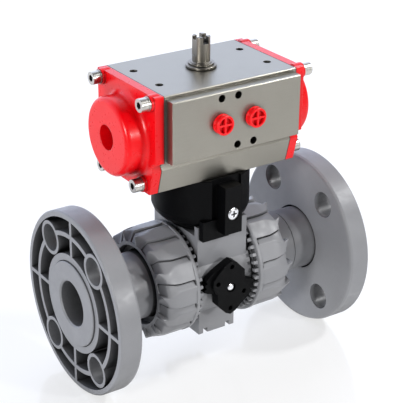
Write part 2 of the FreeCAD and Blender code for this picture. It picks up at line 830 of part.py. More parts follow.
def make_lock():
    """Nut lock: a plate on a rivet with a toothed wing towards each nut."""
    def both_halves(half):
        return [p for p in half] + [(-x, -z) for x, z in half]
    back = prism("lock_wings", "Y", both_halves(WING_HALF),
                 -S("lock_wing_face"), -S("lock_back"))
    front = prism("lock_front", "Y", both_halves(FACE_HALF),
                  -S("lock_face"), 0.5 - S("lock_wing_face"))
    tools = [rod("lock_pivot", "Y", S("rivet_radius") + 0.05, -40, -30, (0, 0)),
             rod("lock_pivot_recess", "Y", S("lock_recess_radius"), -40,
                 1.3 - S("lock_face"), (0, 0))]
    for k, (x, z) in enumerate(LOCK_HOLES):
        tools.append(rod("lock_hole%d" % k, "Y", S("lock_hole_radius"), -40,
                         2.5 - S("lock_face"), (x, z)))
    made = cut("nut_lock", joined("lock_solid", [back, front]), tools)
    rivet = turned("lock_rivet", "Y", [
        (0.3 - S("lock_face"), 0), (0.3 - S("lock_face"), S("rivet_head") - 0.7),
        (0.7 - S("lock_face"), S("rivet_head")), (1.2 - S("lock_face"), S("rivet_head")),
        (1.2 - S("lock_face"), S("rivet_radius")),
        (-S("rivet_end"), S("rivet_radius")), (-S("rivet_end"), 0),
    ])
    node(made, "nut_lock")
    node(rivet, "lock_rivet")


# ---------------------------------------------------------------- adapter

def make_adapter():
    """Bowl-shaped mounting adapter with a screw pad front and back."""
    low, top = S("adapter_bottom"), S("adapter_top")
    bowl = turned("adapter_bowl", "Z", [
        (low, 0), (low, S("adapter_foot_radius")), (low + 2.1, S("adapter_foot_radius")),
        (low + 3.4, S("adapter_foot_radius") + 3.6), (low + 6.2, S("adapter_radius") - 4.2),
        (low + 9.4, S("adapter_radius") - 1.4), (low + 13, S("adapter_radius")),
        (top - 0.6, S("adapter_radius")), (top, S("adapter_radius") - 0.6), (top, 0),
    ])
    channels = []
    solids = []
    holes = []
    for k, sign in enumerate((-1, 1)):
        a, b = span(S("channel_face"), S("adapter_radius") + 1, sign)
        channels.append(block("adapter_channel%d" % k, (-S("channel_half"), a, S("pad_bottom")),
                              (S("channel_half"), b, top + 1)))
        a, b = span(S("channel_face") - 6, S("pad_face"), sign)
        solids.append(block("adapter_pad%d" % k, (-S("pad_half"), a, S("pad_bottom")),
                            (S("pad_half"), b, S("pad_top"))))
        a, b = span(S("tower_half_y") + 0.2, S("apron_face"), sign)
        left, right = span(-S("apron_short"), S("apron_long"), sign)
        solids.append(block("adapter_apron%d" % k, (left, a, S("apron_bottom")),
                            (right, b, S("apron_top"))))
        a, b = span(S("post_inner") - 0.3, S("post_outer") + 0.3, sign)
        holes.append(block("adapter_post_way%d" % k, (-S("post_half_x") - 0.3, a, 30),
                           (S("post_half_x") + 0.3, b, S("post_top") + 0.4)))
        a, b = span(S("post_outer"), S("pad_face") + 1, sign)
        spot = (0, S("side_screw_height"))
        holes.append(rod("adapter_screw_way%d" % k, "Y", S("side_screw_radius") + 0.3,
                         a, b, spot))
        a, b = span(S("pad_face") - S("side_screw_sink") - 0.1, S("pad_face") + 1, sign)
        holes.append(rod("adapter_screw_seat%d" % k, "Y", S("side_screw_head") + 0.5,
                         a, b, spot))
    trimmed = cut("adapter_trim", bowl, channels)
    shell = joined("adapter_solid", [trimmed] + solids)
    inside = turned("adapter_inside", "Z", [
        (low - 1, 0), (low - 1, S("adapter_neck")), (low + 6, S("adapter_neck")),
        (low + 6, S("adapter_throat")), (low + 14, S("adapter_inner")),
        (S("adapter_deck"), S("adapter_inner")), (S("adapter_deck"), S("adapter_socket")),
        (top + 1, S("adapter_socket")), (top + 1, 0),
    ])
    half = S("top_screw_spacing") / 2
    for k, (sx, sy) in enumerate(((1, 1), (1, -1), (-1, 1), (-1, -1))):
        holes.append(rod("adapter_top_way%d" % k, "Z", S("top_screw_radius") + 0.2,
                         S("adapter_deck") - 1, top + 1, (half * sx, half * sy)))
    return node(cut("mounting_adapter", shell, [inside] + holes), "mounting_adapter")


def make_side_screw(side, sign):
    """Cross-recessed screw holding the adapter to a post of the valve body."""
    seat = S("pad_face") - S("side_screw_sink")
    head = turned("side_screw_blank_" + side, "Y", [
        (seat, S("side_screw_radius")), (seat, S("side_screw_head") - 0.3),
        (seat + 0.3, S("side_screw_head")), (seat + 1.3, S("side_screw_head")),
        (seat + 1.9, S("side_screw_head") - 1.2), (seat + 2.1, 0),
        (S("post_inner") + 0.6, 0), (S("post_inner") + 0.6, S("side_screw_radius")),
    ])
    bars = []
    thin, wide = S("side_screw_slot"), S("side_screw_cross")
    for k, (w, d) in enumerate(((thin, wide), (wide, thin))):
        bars.append(block("side_screw_cross_%s%d" % (side, k),
                          (-w, seat + 0.6, -d), (w, seat + 3, d)))
    made = cut("adapter_screw_" + side, head, bars)
    turn = Rotation() if sign > 0 else Rotation(Vector(0, 0, 1), 180)
    return node(made, "adapter_screw_" + side,
                Placement(Vector(0, 0, V("side_screw_height")), turn))


def hex_socket(name, axis, flat, low, high, centre):
    """Hexagonal recess cutter for a socket screw head."""
    item = doc.addObject("Part::Prism", name)
    item.Polygon = 6
    bind(item, "Circumradius", size(flat) / math.sqrt(3.0))
    bind(item, "Height", size(high) - low)
    spot = list(centre)
    spot.insert("XYZ".index(axis), low)
    put(item, AXIS_TURN[axis], spot)
    return item


def make_top_screws():
    """Four socket screws from the adapter deck up into the actuator."""
    half = S("top_screw_spacing") / 2
    deck = S("adapter_deck")
    screws = []
    for k, (sx, sy) in enumerate(((1, 1), (1, -1), (-1, 1), (-1, -1))):
        spot = (half * sx, half * sy)
        base = deck - S("top_screw_head_length")
        shank = rod("top_screw_shank%d" % k, "Z", S("top_screw_radius"), deck - 1,
                    S("top_screw_end"), spot)
        head = rod("top_screw_head%d" % k, "Z", S("top_screw_head"), base, deck - 0.05, spot)
        recess = hex_socket("top_screw_socket%d" % k, "Z", S("hex_key"), base - 1,
                            base + S("hex_depth"), spot)
        screws.append(cut("top_screw%d" % k, joined("top_screw_blank%d" % k, [shank, head]),
                          [recess]))
    return node(joined("adapter_deck_screws", screws), "adapter_deck_screws")


def make_coupling():
    """Sleeve carrying the pinion's turn to the valve stem."""
    half = S("drive_square") / 2 - 0.05
    bottom, top = S("coupling_bottom"), S("coupling_top")
    sleeve = rod("coupling_sleeve", "Z", S("coupling_radius"), bottom, top)
    drive = shared("coupling_drive",
                   block("coupling_bar", (-half, -half, top - 1), (half, half, S("drive_top"))),
                   rod("coupling_bar_round", "Z", half * 1.32, top - 5, S("drive_top") + 5))
    socket = S("stem_square") / 2 + 0.05
    hole = block("coupling_socket", (-socket, -socket, bottom - 1),
                 (socket, socket, S("coupling_socket_top")))
    return node(cut("drive_coupling", joined("coupling_solid", [sleeve, drive]), [hole]),
                "drive_coupling")


# --------------------------------------------------------------- actuator

def section_points():
    """Cross-section of the actuator body as (y, z), the same on both sides."""
    half = [(S("act_foot_y"), S("act_bottom")), (S("act_skirt_y"), S("act_skirt_z")),
            (S("act_waist_y") - 0.6, S("act_waist_z") - 3.2),
            (S("act_waist_y"), S("act_waist_z") - 1.2),
            (S("act_side"), S("act_waist_z")), (S("act_side"), S("act_top") - 0.5),
            (S("act_side") - 0.5, S("act_top"))]
    return half + [(-y, z) for y, z in reversed(half)]


def cap_screw_spots():
    """The four cap screw centres as (y, z)."""
    spots = []
    for sign in (1, -1):
        spots.append((S("cap_screw_high_y") * sign, S("cap_screw_high_z")))
        spots.append((S("cap_screw_low_y") * sign, S("cap_screw_low_z")))
    return spots


def make_actuator_body():
    """Extruded cylinder body with the port plate, bores, ducts and tapped holes."""
    end = S("act_half")
    core = prism("act_core", "X", section_points(), -end, end)
    face = S("plate_face")
    plate = prism("act_plate", "X", [
        (-face, S("plate_bottom")), (0.8 - face, S("plate_bottom") - 0.3),
        (-30, S("plate_bottom") - 0.3), (-30, S("plate_top")), (0.6 - face, S("plate_top")),
        (-face, S("plate_top") - 0.6)], -S("plate_half"), S("plate_half"))
    mid = (0, S("cylinder_height"))
    tools = [rod("act_cylinder", "X", S("cylinder_radius"), -end - 1, end + 1, mid),
             rod("act_low_bore", "Z", S("lower_journal") + S("journal_play"), 70, 95),
             rod("act_high_bore", "Z", S("upper_journal") + S("journal_play"), 120, 145)]
    for k, sign in enumerate((-1, 1)):
        spot = (S("port_half") * sign, S("port_height"))
        tools.append(rod("act_port%d" % k, "Y", S("port_radius") + 0.05, -face - 1,
                         S("port_depth") - face, spot))
    tools.append(rod("act_mid_duct", "Y", S("air_duct_radius"), -face + 5, -20,
                     (S("port_half"), S("port_height"))))
    tools.append(rod("act_riser", "Z", S("air_riser_radius"), S("port_height") + 1,
                     S("air_duct_z") + 0.7, (-S("port_half"), -S("air_duct_y") - 0.4)))
    tools.append(rod("act_long_duct", "X", S("air_duct_radius"), -end - 1, end + 1,
                     (-S("air_duct_y"), S("air_duct_z"))))
    for k, (dx, dz) in enumerate(((-1, 1), (0, 1), (0, -1), (1, -1))):
        spot = (S("port_half") * dx, S("port_height") + S("plate_screw_rise") * dz)
        tools.append(rod("act_plate_hole%d" % k, "Y", S("screw_hole_radius"), -face - 1,
                         S("plate_hole_depth") - face, spot))
    half = S("top_screw_spacing") / 2
    for k, (sx, sy) in enumerate(((1, 1), (1, -1), (-1, 1), (-1, -1))):
        spot = (S("top_hole_x") * sx, S("top_hole_y") * sy)
        tools.append(rod("act_top_hole%d" % k, "Z", S("tap_hole_radius") + 0.4,
                         S("act_top") - S("top_hole_depth"), S("act_top") + 1, spot))
        tools.append(rod("act_low_hole%d" % k, "Z", S("screw_hole_radius"),
                         S("act_bottom") - 5, S("low_hole_top"), (half * sx, half * sy)))
    for k, spot in enumerate(cap_screw_spots()):
        for side, sign in (("a", 1), ("b", -1)):
            a, b = span(end - S("cap_hole_depth"), end + 1, sign)
            tools.append(rod("act_cap_hole%d%s" % (k, side), "X", S("screw_hole_radius"),
                             a, b, spot))
    return node(cut("actuator_body", joined("act_solid", [core, plate]), tools), "actuator_body")


ROUND_STEPS = 5


def quarter_round(x, r, radius, direction):
    """Points of a quarter circle as (x, r), round or hollow for direction 1 or -1."""
    points = []
    for step in range(ROUND_STEPS + 1):
        angle = math.pi / 2 * step / ROUND_STEPS
        if direction > 0:
            points.append((x - radius + radius * math.sin(angle),
                           r - radius + radius * math.cos(angle)))
        else:
            points.append((x + radius - radius * math.cos(angle),
                           r + radius - radius * math.sin(angle)))
    return points


def make_cap(side, sign):
    """End cap with a round spring housing, screw pads and an air slot."""
    tag = "end_cap_" + side
    inner = S("act_half") + S("gasket_thick")
    outer = inner + S("cap_thick")
    a, b = span(inner, outer, sign)
    plate = prism(tag + "_plate", "X", section_points(), a, b)
    radius = S("cap_boss_radius")
    foot = quarter_round(outer, radius, S("cap_foot_round"), -1)
    edge = quarter_round(S("cap_boss_face"), radius, S("cap_edge_round"), 1)
    outline = [(inner + 1, 0), (inner + 1, foot[0][1])] + foot + edge
    outline.append((S("cap_boss_face"), 0))
    boss = turned(tag + "_boss", "X", [(x * sign, r) for x, r in outline])
    boss.Placement = Placement(Vector(0, 0, V("cylinder_height")), Rotation())
    cavity = turned(tag + "_cavity", "X", [
        (x * sign, r) for x, r in (
            (inner - 1, 0), (inner - 1, S("cap_cavity")),
            (S("cap_cavity_end"), S("cap_cavity")), (S("cap_cavity_end"), S("cap_post")),
            (inner + 2, S("cap_post")), (inner + 2, 0))])
    cavity.Placement = boss.Placement
    mid = (0, S("cylinder_height"))
    a, b = span(inner + 5, S("cap_boss_face") + 1, sign)
    tools = [cavity, rod(tag + "_hole", "X", S("cap_hole"), a, b, mid)]
    solids = [plate, boss]
    for k, spot in enumerate(cap_screw_spots()):
        a, b = span(inner + 1, S("cap_boss_base_face"), sign)
        solids.append(rod("%s_pad%d" % (tag, k), "X", S("cap_screw_pad"), a, b, spot))
        a, b = span(inner - 1, S("cap_boss_base_face") + 1, sign)
        tools.append(rod("%s_screw_way%d" % (tag, k), "X", S("cap_screw_radius") + 0.3,
                         a, b, spot))
    slot = doc.addObject("Part::Box", tag + "_air_slot")
    bind(slot, "Length", 2.4)
    bind(slot, "Width", 22)
    bind(slot, "Height", S("air_duct_radius") * 2)
    rise = math.atan2(V("air_duct_z") - V("cylinder_height"), -V("air_duct_y"))
    start = inner.value if sign > 0 else -inner.value - 2.4
    turn = Rotation(Vector(1, 0, 0), math.degrees(rise) + 180)
    lift = turn.multVec(Vector(0, -2, -V("air_duct_radius")))
    slot.Placement = Placement(Vector(start, -V("air_duct_y"), V("air_duct_z")) + lift, turn)
    made = cut(tag, joined(tag + "_solid", solids), tools + [slot])
    return node(made, tag)


def make_gasket(side, sign):
    """Flat gasket between the body and an end cap."""
    tag = "cap_gasket_" + side
    a, b = span(S("act_half"), S("act_half") + S("gasket_thick"), sign)
    sheet_part = prism(tag + "_sheet", "X", section_points(), a, b)
    tools = [rod(tag + "_bore", "X", S("cylinder_radius") + 0.2, a - 1, b + 1,
                 (0, S("cylinder_height"))),
             rod(tag + "_duct", "X", S("air_duct_radius") + 0.2, a - 1, b + 1,
                 (-S("air_duct_y"), S("air_duct_z")))]
    for k, spot in enumerate(cap_screw_spots()):
        tools.append(rod("%s_way%d" % (tag, k), "X", S("cap_screw_radius") + 0.3,
                         a - 1, b + 1, spot))
    return node(cut(tag, sheet_part, tools), tag)


def make_cap_screws(side, sign):
    """The four socket screws of one cap, and their washers."""
    pad = S("cap_boss_base_face")
    seat = pad + S("washer_thick")
    screws = []
    washers = []
    for k, spot in enumerate(cap_screw_spots()):
        tag = "cap_screw_%s%d" % (side, k)
        a, b = span(S("act_half") - S("cap_screw_reach"), seat + 1, sign)
        shank = rod(tag + "_shank", "X", S("cap_screw_radius"), a, b, spot)
        a, b = span(seat + 0.05, seat + S("cap_screw_head_length"), sign)
        head = rod(tag + "_head", "X", S("cap_screw_head"), a, b, spot)
        a, b = span(seat + S("cap_screw_head_length") - S("hex_depth"),
                    seat + S("cap_screw_head_length") + 1, sign)
        recess = hex_socket(tag + "_socket", "X", S("hex_key"), a, b, spot)
        screws.append(cut(tag, joined(tag + "_blank", [shank, head]), [recess]))
        a, b = span(pad + 0.02, seat, sign)
        disc = rod(tag + "_washer_disc", "X", S("washer_radius"), a, b, spot)
        hole = rod(tag + "_washer_hole", "X", S("cap_screw_radius") + 0.15,
                   a - 1, b + 1, spot)
        washers.append(cut(tag + "_washer", disc, [hole]))
    node(joined("cap_screws_" + side, screws), "cap_screws_" + side)
    node(joined("cap_washers_" + side, washers), "cap_washers_" + side)


def make_port_plug(side, sign):
    """Push-in port cap with a cross-shaped grip in its face."""
    tag = "port_plug_" + side
    face = S("plate_face")
    front = -face - S("plug_face")
    rim, waist = S("plug_radius"), S("plug_waist")
    blank = turned(tag + "_blank", "Y", [
        (front, 0), (front, rim - 0.5), (front + 0.4, rim - 0.1), (front + 2.0, rim - 0.1),
        (front + 2.3, waist), (-face - 1.0, waist), (-face - 0.7, rim), (-face - 0.05, rim),
        (-face - 0.05, S("port_radius")), (S("plug_length") - face, S("port_radius")),
        (S("plug_length") - face, 0)])
    dish = rod(tag + "_dish", "Y", S("plug_dish"), front - 1, front + 2.4, (0, 0))
    thin, wide = S("plug_bar_half"), S("plug_dish") + 0.3
    bars = [block(tag + "_bar_x", (-wide, front + 0.2, -thin), (wide, front + 2.8, thin)),
            block(tag + "_bar_z", (-thin, front + 0.2, -wide), (thin, front + 2.8, wide))]
    made = joined(tag, [cut(tag + "_dished", blank, [dish])] + bars)
    return node(made, tag, Placement(Vector(sign * V("port_half"), 0, V("port_height")),
                                     Rotation()))


# ---------------------------------------------------- pinion and the racks

PRESSURE_ANGLE = math.radians(25.0)
ADDENDUM = 0.8
DEDENDUM = 1.05
BACKLASH = 0.22


def pitch_radius():
    """Pitch radius of the pinion."""
    return V("gear_module") * V("gear_teeth") / 2


def gear_face():
    """Involute pinion outline, one tooth gap facing +Y and one facing -Y."""
    module, teeth = V("gear_module"), int(V("gear_teeth"))
    pitch = pitch_radius()
    base = pitch * math.cos(PRESSURE_ANGLE)
    tip, root = pitch + ADDENDUM * module, pitch - DEDENDUM * module
    half = (math.pi * module / 2 - BACKLASH) / 2 / pitch
    flare = math.tan(PRESSURE_ANGLE) - PRESSURE_ANGLE
    flank = []
    for k in range(9):
        radius = base + (tip - base) * k / 8.0
        lean = math.acos(min(1.0, base / radius))
        flank.append((radius, half + flare - (math.tan(lean) - lean)))
    edges = []
    corners = []
    for n in range(teeth):
        middle = 2 * math.pi * (n + 0.5) / teeth
        low_side = [(root, middle - flank[0][1])] + [(r, middle - a) for r, a in flank]
        high_side = [(r, middle + a) for r, a in reversed(flank)]
        high_side.append((root, middle + flank[0][1]))
        corners.append([Vector(r * math.cos(a), r * math.sin(a), 0)
                        for r, a in low_side + high_side])
    for n in range(teeth):
        points = corners[n]
        edges.append(Part.LineSegment(points[0], points[1]).toShape())
        rising = Part.BSplineCurve()
        rising.interpolate(points[1:10])
        edges.append(rising.toShape())
        edges.append(Part.LineSegment(points[9], points[10]).toShape())
        falling = Part.BSplineCurve()
        falling.interpolate(points[10:19])
        edges.append(falling.toShape())
        edges.append(Part.LineSegment(points[18], points[19]).toShape())
        edges.append(Part.LineSegment(points[19], corners[(n + 1) % teeth][0]).toShape())
    return Part.Face(Part.Wire(edges))


def journal_groove(middle, half, radius, depth):
    """Corner list of one groove round a journal as (z, r)."""
    return [(middle - half, radius), (middle - half, radius - depth),
            (middle + half, radius - depth), (middle + half, radius)]


def pinion_outline():
    """Turned parts of the pinion below and above the gear as (z, r)."""
    low, high = V("lower_journal"), V("upper_journal")
    seat, shaft = V("collar_seat_radius"), V("shaft_radius")
    bottom, top = V("pinion_bottom"), V("shaft_top")
    bearing = (V("bearing_half") + 0.1, V("bearing_wall"))
    seal = (V("pinion_seal_wire") + 0.17, 2 * V("pinion_seal_wire") + 0.04)
    ring = V("snap_ring_z")
    ring_half = V("snap_ring_half") + 0.05
    shaft_start = ring + ring_half
    points = [(bottom, 0), (bottom, low - 0.4), (bottom + 0.4, low)]
    points += journal_groove(V("low_bearing_z"), bearing[0], low, bearing[1])
    points += journal_groove(V("low_seal_z"), seal[0], low, seal[1])
    points += [(V("low_journal_top"), low), (V("low_journal_top"), V("pinion_boss")),
               (V("gear_bottom") - 0.3, V("pinion_boss")),
               (V("gear_bottom") - 0.3, V("gear_relief")),
               (V("gear_top") + 0.3, V("gear_relief")), (V("gear_top") + 0.3, V("high_boss")),
               (V("high_boss_top"), V("high_boss")), (V("high_boss_top"), high)]
    points += journal_groove(V("high_seal_z"), seal[0], high, seal[1])
    points += journal_groove(V("high_bearing_z"), bearing[0], high, bearing[1])
    points += [(V("high_journal_top"), high), (V("high_journal_top"), seat)]
    points += journal_groove(ring, ring_half, seat, seat - V("snap_groove_radius"))[:3]
    points += [(shaft_start, seat - 0.2), (shaft_start + 0.3, seat - 0.4),
               (shaft_start + 0.6, shaft), (top - 0.4, shaft), (top, shaft - 0.4), (top, 0)]
    return points


def make_pinion():
    """Pinion with journals, a square socket below and the slotted shaft top."""
    corners = [Vector(r, 0, z) for z, r in pinion_outline()]
    turned_part = Part.Face(Part.makePolygon(corners + [corners[0]]))
    solid = turned_part.revolve(Vector(0, 0, 0), Vector(0, 0, 1), 360)
    gear = gear_face().extrude(Vector(0, 0, V("gear_top") - V("gear_bottom") + 0.8))
    gear.translate(Vector(0, 0, V("gear_bottom") - 0.4))
    solid = solid.fuse(gear)
    half = V("drive_square") / 2 + 0.05
    top = V("shaft_top")
    slot, reach, detail = V("shaft_slot_half"), 10, V("shaft_detail")
    socket_start = V("pinion_bottom") - 1
    tools = [Part.makeBox(2 * half, 2 * half, V("drive_top") + 2 - socket_start,
                          Vector(-half, -half, socket_start)),
             Part.makeBox(2 * slot, 2 * reach, detail,
                          Vector(-slot, -reach, top - V("shaft_slot_deep"))),
             Part.makeBox(2 * reach, 2 * slot, detail,
                          Vector(-reach, -slot, top - V("shaft_slot_shallow"))),
             Part.makeCylinder(V("tap_hole_radius"), detail + 2, Vector(0, 0, top - detail))]
    for start in (V("flat_half"), -V("flat_half") - reach):
        tools.append(Part.makeBox(reach, 2 * reach, detail, Vector(start, -reach, top - detail)))
    return node(worked("pinion", solid.cut(tools)), "pinion")


def rack_teeth_space(first, count):
    """Material removed between rack teeth, pitch line at y = -pitch radius."""
    module = V("gear_module")
    pitch = math.pi * module
    top = ADDENDUM * module
    floor = DEDENDUM * module
    slope = math.tan(PRESSURE_ANGLE)
    gap = pitch / 2 + BACKLASH / 2
    line = -pitch_radius()
    cutters = []
    for k in range(count):
        x = first + pitch * k
        wide = gap / 2 + (top + 0.5) * slope
        narrow = gap / 2 - floor * slope
        corners = [Vector(x - wide, line + top + 0.5, 0), Vector(x - narrow, line - floor, 0),
                   Vector(x + narrow, line - floor, 0), Vector(x + wide, line + top + 0.5, 0)]
        face = Part.Face(Part.makePolygon(corners + [corners[0]]))
        cutters.append(face.extrude(Vector(0, 0, 60)).translated(Vector(0, 0, 80)))
    return cutters


def make_piston(side, placement):
    """Piston with its rack arm passing the pinion on the -Y side."""
    axis_z = V("cylinder_height")
    radius = V("piston_radius")
    inner, outer = V("piston_inner"), V("piston_outer")
    pocket = outer - V("piston_pocket_depth")
    ring = [(inner, 0), (inner, radius - 0.5), (inner + 0.5, radius),
            (inner + 1.6, radius), (inner + 1.6, radius - 1.5),
            (inner + 4.6, radius - 1.5), (inner + 4.6, radius),
            (inner + 6.0, radius), (inner + 6.0, radius - 3.2),
            (inner + 9.4, radius - 3.2), (inner + 9.4, radius),
            (outer, radius), (outer, V("piston_pocket")), (pocket, V("piston_pocket")),
            (pocket, 0)]
    corners = [Vector(x, r, 0) for x, r in ring]
    head = Part.Face(Part.makePolygon(corners + [corners[0]]))
    head = head.revolve(Vector(0, 0, 0), Vector(1, 0, 0), 360)
    head.translate(Vector(0, 0, axis_z))
    reach = V("rack_reach")
    arm = Part.makeCylinder(radius - 0.3, inner + reach + 1, Vector(-reach, 0, axis_z),
                            Vector(1, 0, 0))
    face_y = -pitch_radius() + ADDENDUM * V("gear_module")
    keep = Part.makeBox(inner + reach + 1, 20, 2 * V("rack_half_height"),
                        Vector(-reach, face_y - 20, axis_z - V("rack_half_height")))
    arm = arm.common(keep)
    pitch = math.pi * V("gear_module")
    first = -math.floor((reach + 2) / pitch) * pitch
    count = int((reach + inner - 3) / pitch)
    arm = arm.cut(rack_teeth_space(first + pitch / 2, count))
    solid = head.fuse(arm)
    return node(worked("piston_" + side, solid.removeSplitter()), "piston_" + side, placement)


def make_spring(side, placement):
    """Return spring between the piston pocket and the cap's cavity."""
    start = V("piston_outer") - V("piston_pocket_depth") + V("spring_wire") + 0.15
    end = V("cap_cavity_end") - V("spring_wire") - 0.15
    turns = V("spring_turns")
    helix = Part.makeHelix((end - start) / turns, end - start, V("spring_radius"))
    wire = Part.Wire(Part.Circle(Vector(V("spring_radius"), 0, 0), Vector(0, 1, 0),
                                 V("spring_wire")).toShape())
    coil = Part.Wire(helix).makePipeShell([wire], True, True)
    coil.rotate(Vector(0, 0, 0), Vector(0, 1, 0), 90)
    coil.translate(Vector(start, 0, V("cylinder_height")))
    return node(worked("return_spring_" + side, coil), "return_spring_" + side, placement)


def plain_ring(name, axis, low, high, inner, outer, placement=None):
    """Rectangular-section ring."""
    made = turned(name, axis, [(low, inner), (low, outer), (high, outer), (high, inner)])
    return node(made, name, placement)


def make_pinion_rings():
    """Bearings, seals, thrust collar and snap ring of the pinion."""
    wire = S("pinion_seal_wire")
    wall = S("bearing_wall") - 0.05
    for place, journal, bearing_z, seal_z in (
            ("lower", S("lower_journal"), S("low_bearing_z"), S("low_seal_z")),
            ("upper", S("upper_journal"), S("high_bearing_z"), S("high_seal_z"))):
        plain_ring("pinion_bearing_" + place, "Z", bearing_z - S("bearing_half"),
                   bearing_z + S("bearing_half"), journal - wall, journal + 0.05)
        ring = o_ring("pinion_seal_" + place, "Z", journal - wire, wire, (0, 0, seal_z))
        node(ring, "pinion_seal_" + place)
    seat = S("collar_seat_radius") + 0.05
    base = S("act_top") + 0.05
    rim, height = S("collar_outer"), S("collar_height")
    collar = turned("thrust_collar", "Z", [
        (base, seat), (base, rim - 0.3), (base + 0.3, rim), (base + height - 0.5, rim),
        (base + height - 0.2, rim - 0.3), (base + height - 0.2, S("collar_step") + 0.2),
        (base + height, S("collar_step")), (base + height, seat)])
    node(collar, "thrust_collar")
    low = S("snap_ring_z") - S("snap_ring_half")
    high = S("snap_ring_z") + S("snap_ring_half")
    inner = S("snap_groove_radius") + 0.05
    ring = turned("snap_ring_blank", "Z", [
        (low, inner), (low, S("snap_ring_outer")), (high, S("snap_ring_outer")), (high, inner)])
    gap = block("snap_ring_gap", (-1.6, 3, low - 1), (1.6, 9, high + 1))
    node(cut("snap_ring", ring, [gap]), "snap_ring")


def build():
    """Make every sub-part in turn."""
    make_valve_body()
    make_carrier()
    make_ball()
    make_stem()
    wire = S("stem_seal_wire")
    for name, height in (("stem_seal_lower", "stem_seal_low"),
                         ("stem_seal_upper", "stem_seal_high")):
        ring = o_ring(name, "Z", S("stem_radius") - wire + 0.08, wire, (0, 0, S(height)))
        node(ring, name)
    wire = S("carrier_seal_wire")
    middle = (S("carrier_groove_start") + S("carrier_groove_end")) / 2
    carrier_seal = o_ring("carrier_seal", "X", S("carrier_radius") + 0.05 - wire, wire,
                          (middle, 0, 0))
    node(carrier_seal, "carrier_seal")
    for side, placement in SIDES:
        sign = 1 if side == "right" else -1
        make_seat(side, placement)
        seal = o_ring("seat_seal_" + side, "X", S("seat_seal_radius"), S("seat_seal_wire"),
                      ((S("seat_back") + S("seat_pocket_end")) / 2 * sign, 0, 0))
        node(seal, "seat_seal_" + side)
        wire = S("face_seal_wire")
        depth = S("body_half") - S("face_groove_depth") + wire + 0.02
        seal = o_ring("face_seal_" + side, "X", S("face_seal_radius"), wire,
                      (depth * sign, 0, 0))
        node(seal, "face_seal_" + side)
        make_connector(side, placement)
        make_stub(side, placement)
        make_nut(side, placement)
        make_flange(side, placement)
    make_lock()
    make_adapter()
    make_side_screw("rear", 1)
    make_side_screw("front", -1)
    make_top_screws()
    make_coupling()
    make_actuator_body()
    make_pinion()
    make_pinion_rings()
    for side, placement in SIDES:
        sign = 1 if side == "right" else -1
        make_piston(side, placement)
        ring_z = S("cylinder_height")
        seal = o_ring("piston_seal_" + side, "X", S("piston_radius") - 1.6, 1.6,
                      ((S("piston_inner") + 7.7) * sign, 0, ring_z))
        node(seal, "piston_seal_" + side)
        band = turned("piston_band_" + side, "X", [
            (S("piston_inner") + 1.7, S("piston_radius") - 1.45),
            (S("piston_inner") + 1.7, S("piston_radius") + 0.04),
            (S("piston_inner") + 4.5, S("piston_radius") + 0.04),
            (S("piston_inner") + 4.5, S("piston_radius") - 1.45)])
        turn = Rotation() if placement is None else placement.Rotation
        node(band, "piston_band_" + side, Placement(Vector(0, 0, V("cylinder_height")), turn))
        make_spring(side, placement)
        make_cap(side, sign)
        make_gasket(side, sign)
        make_cap_screws(side, sign)
        make_port_plug(side, sign)


def check_and_export():
    """Stop on any failed object, then write one STEP file per sub-part."""
    doc.recompute()
    for item in doc.Objects:
        if "Invalid" in item.State or "Error" in item.State:
            raise RuntimeError("object %s did not build" % item.Name)
    for item in NODES:
        shape = item.Shape
        if shape.isNull() or not shape.isValid() or not shape.Solids:
            raise RuntimeError("sub-part %s is not a sound solid" % item.Label)
        shape.exportStep(os.path.join("parts", item.Label + ".step"))
        print("%-24s solids %d volume %.0f" % (item.Label, len(shape.Solids), shape.Volume))
    print("sub-parts written:", len(NODES))


build()
check_and_export()
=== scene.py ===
import json
import math

import bmesh
import bpy
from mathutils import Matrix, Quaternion, Vector


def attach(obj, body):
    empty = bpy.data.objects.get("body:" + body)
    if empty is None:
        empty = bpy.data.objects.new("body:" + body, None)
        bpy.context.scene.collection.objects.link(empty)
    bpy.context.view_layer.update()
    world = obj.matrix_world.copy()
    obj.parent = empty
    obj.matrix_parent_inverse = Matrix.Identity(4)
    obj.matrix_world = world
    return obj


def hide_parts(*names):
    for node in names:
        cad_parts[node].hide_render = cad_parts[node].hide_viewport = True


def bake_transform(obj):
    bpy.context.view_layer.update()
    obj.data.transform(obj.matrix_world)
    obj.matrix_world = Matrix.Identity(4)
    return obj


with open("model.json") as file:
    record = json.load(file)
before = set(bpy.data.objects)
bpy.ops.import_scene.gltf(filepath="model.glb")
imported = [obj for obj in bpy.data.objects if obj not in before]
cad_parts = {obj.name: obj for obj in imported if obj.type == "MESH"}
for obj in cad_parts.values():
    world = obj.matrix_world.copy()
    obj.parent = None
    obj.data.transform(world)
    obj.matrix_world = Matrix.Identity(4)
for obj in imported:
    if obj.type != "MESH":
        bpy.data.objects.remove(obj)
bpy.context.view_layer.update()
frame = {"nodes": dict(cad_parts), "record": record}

# Looks of a pneumatic actuated ball valve. Metres. +X runs along the pipe, +Z up
# the stem, and -Y is the side with the air ports. Names in the nut section hold
# millimetres, and MM turns them into metres.

MM = 0.001
NODES = frame["nodes"]
SLOT_OF = {part["node"]: part["material_slot"] for part in frame["record"]["subparts"]}
SIDES = (("right", 1), ("left", -1))


# ------------------------------------------------------------- shader helpers

WHITE = (1.0, 1.0, 1.0)
COOL_WHITE = (0.98, 0.99, 1.0)
BLACK = (0.0, 0.0, 0.0)
FLANGE_INNER_FACE = (82 * MM, 84.5 * MM)
PIPE_WALL = (16.2 * MM, 17.5 * MM)
GAP_MOUTH = (49.9 * MM, 50.3 * MM)
GAP_WALL = (26.3 * MM, 26.8 * MM)


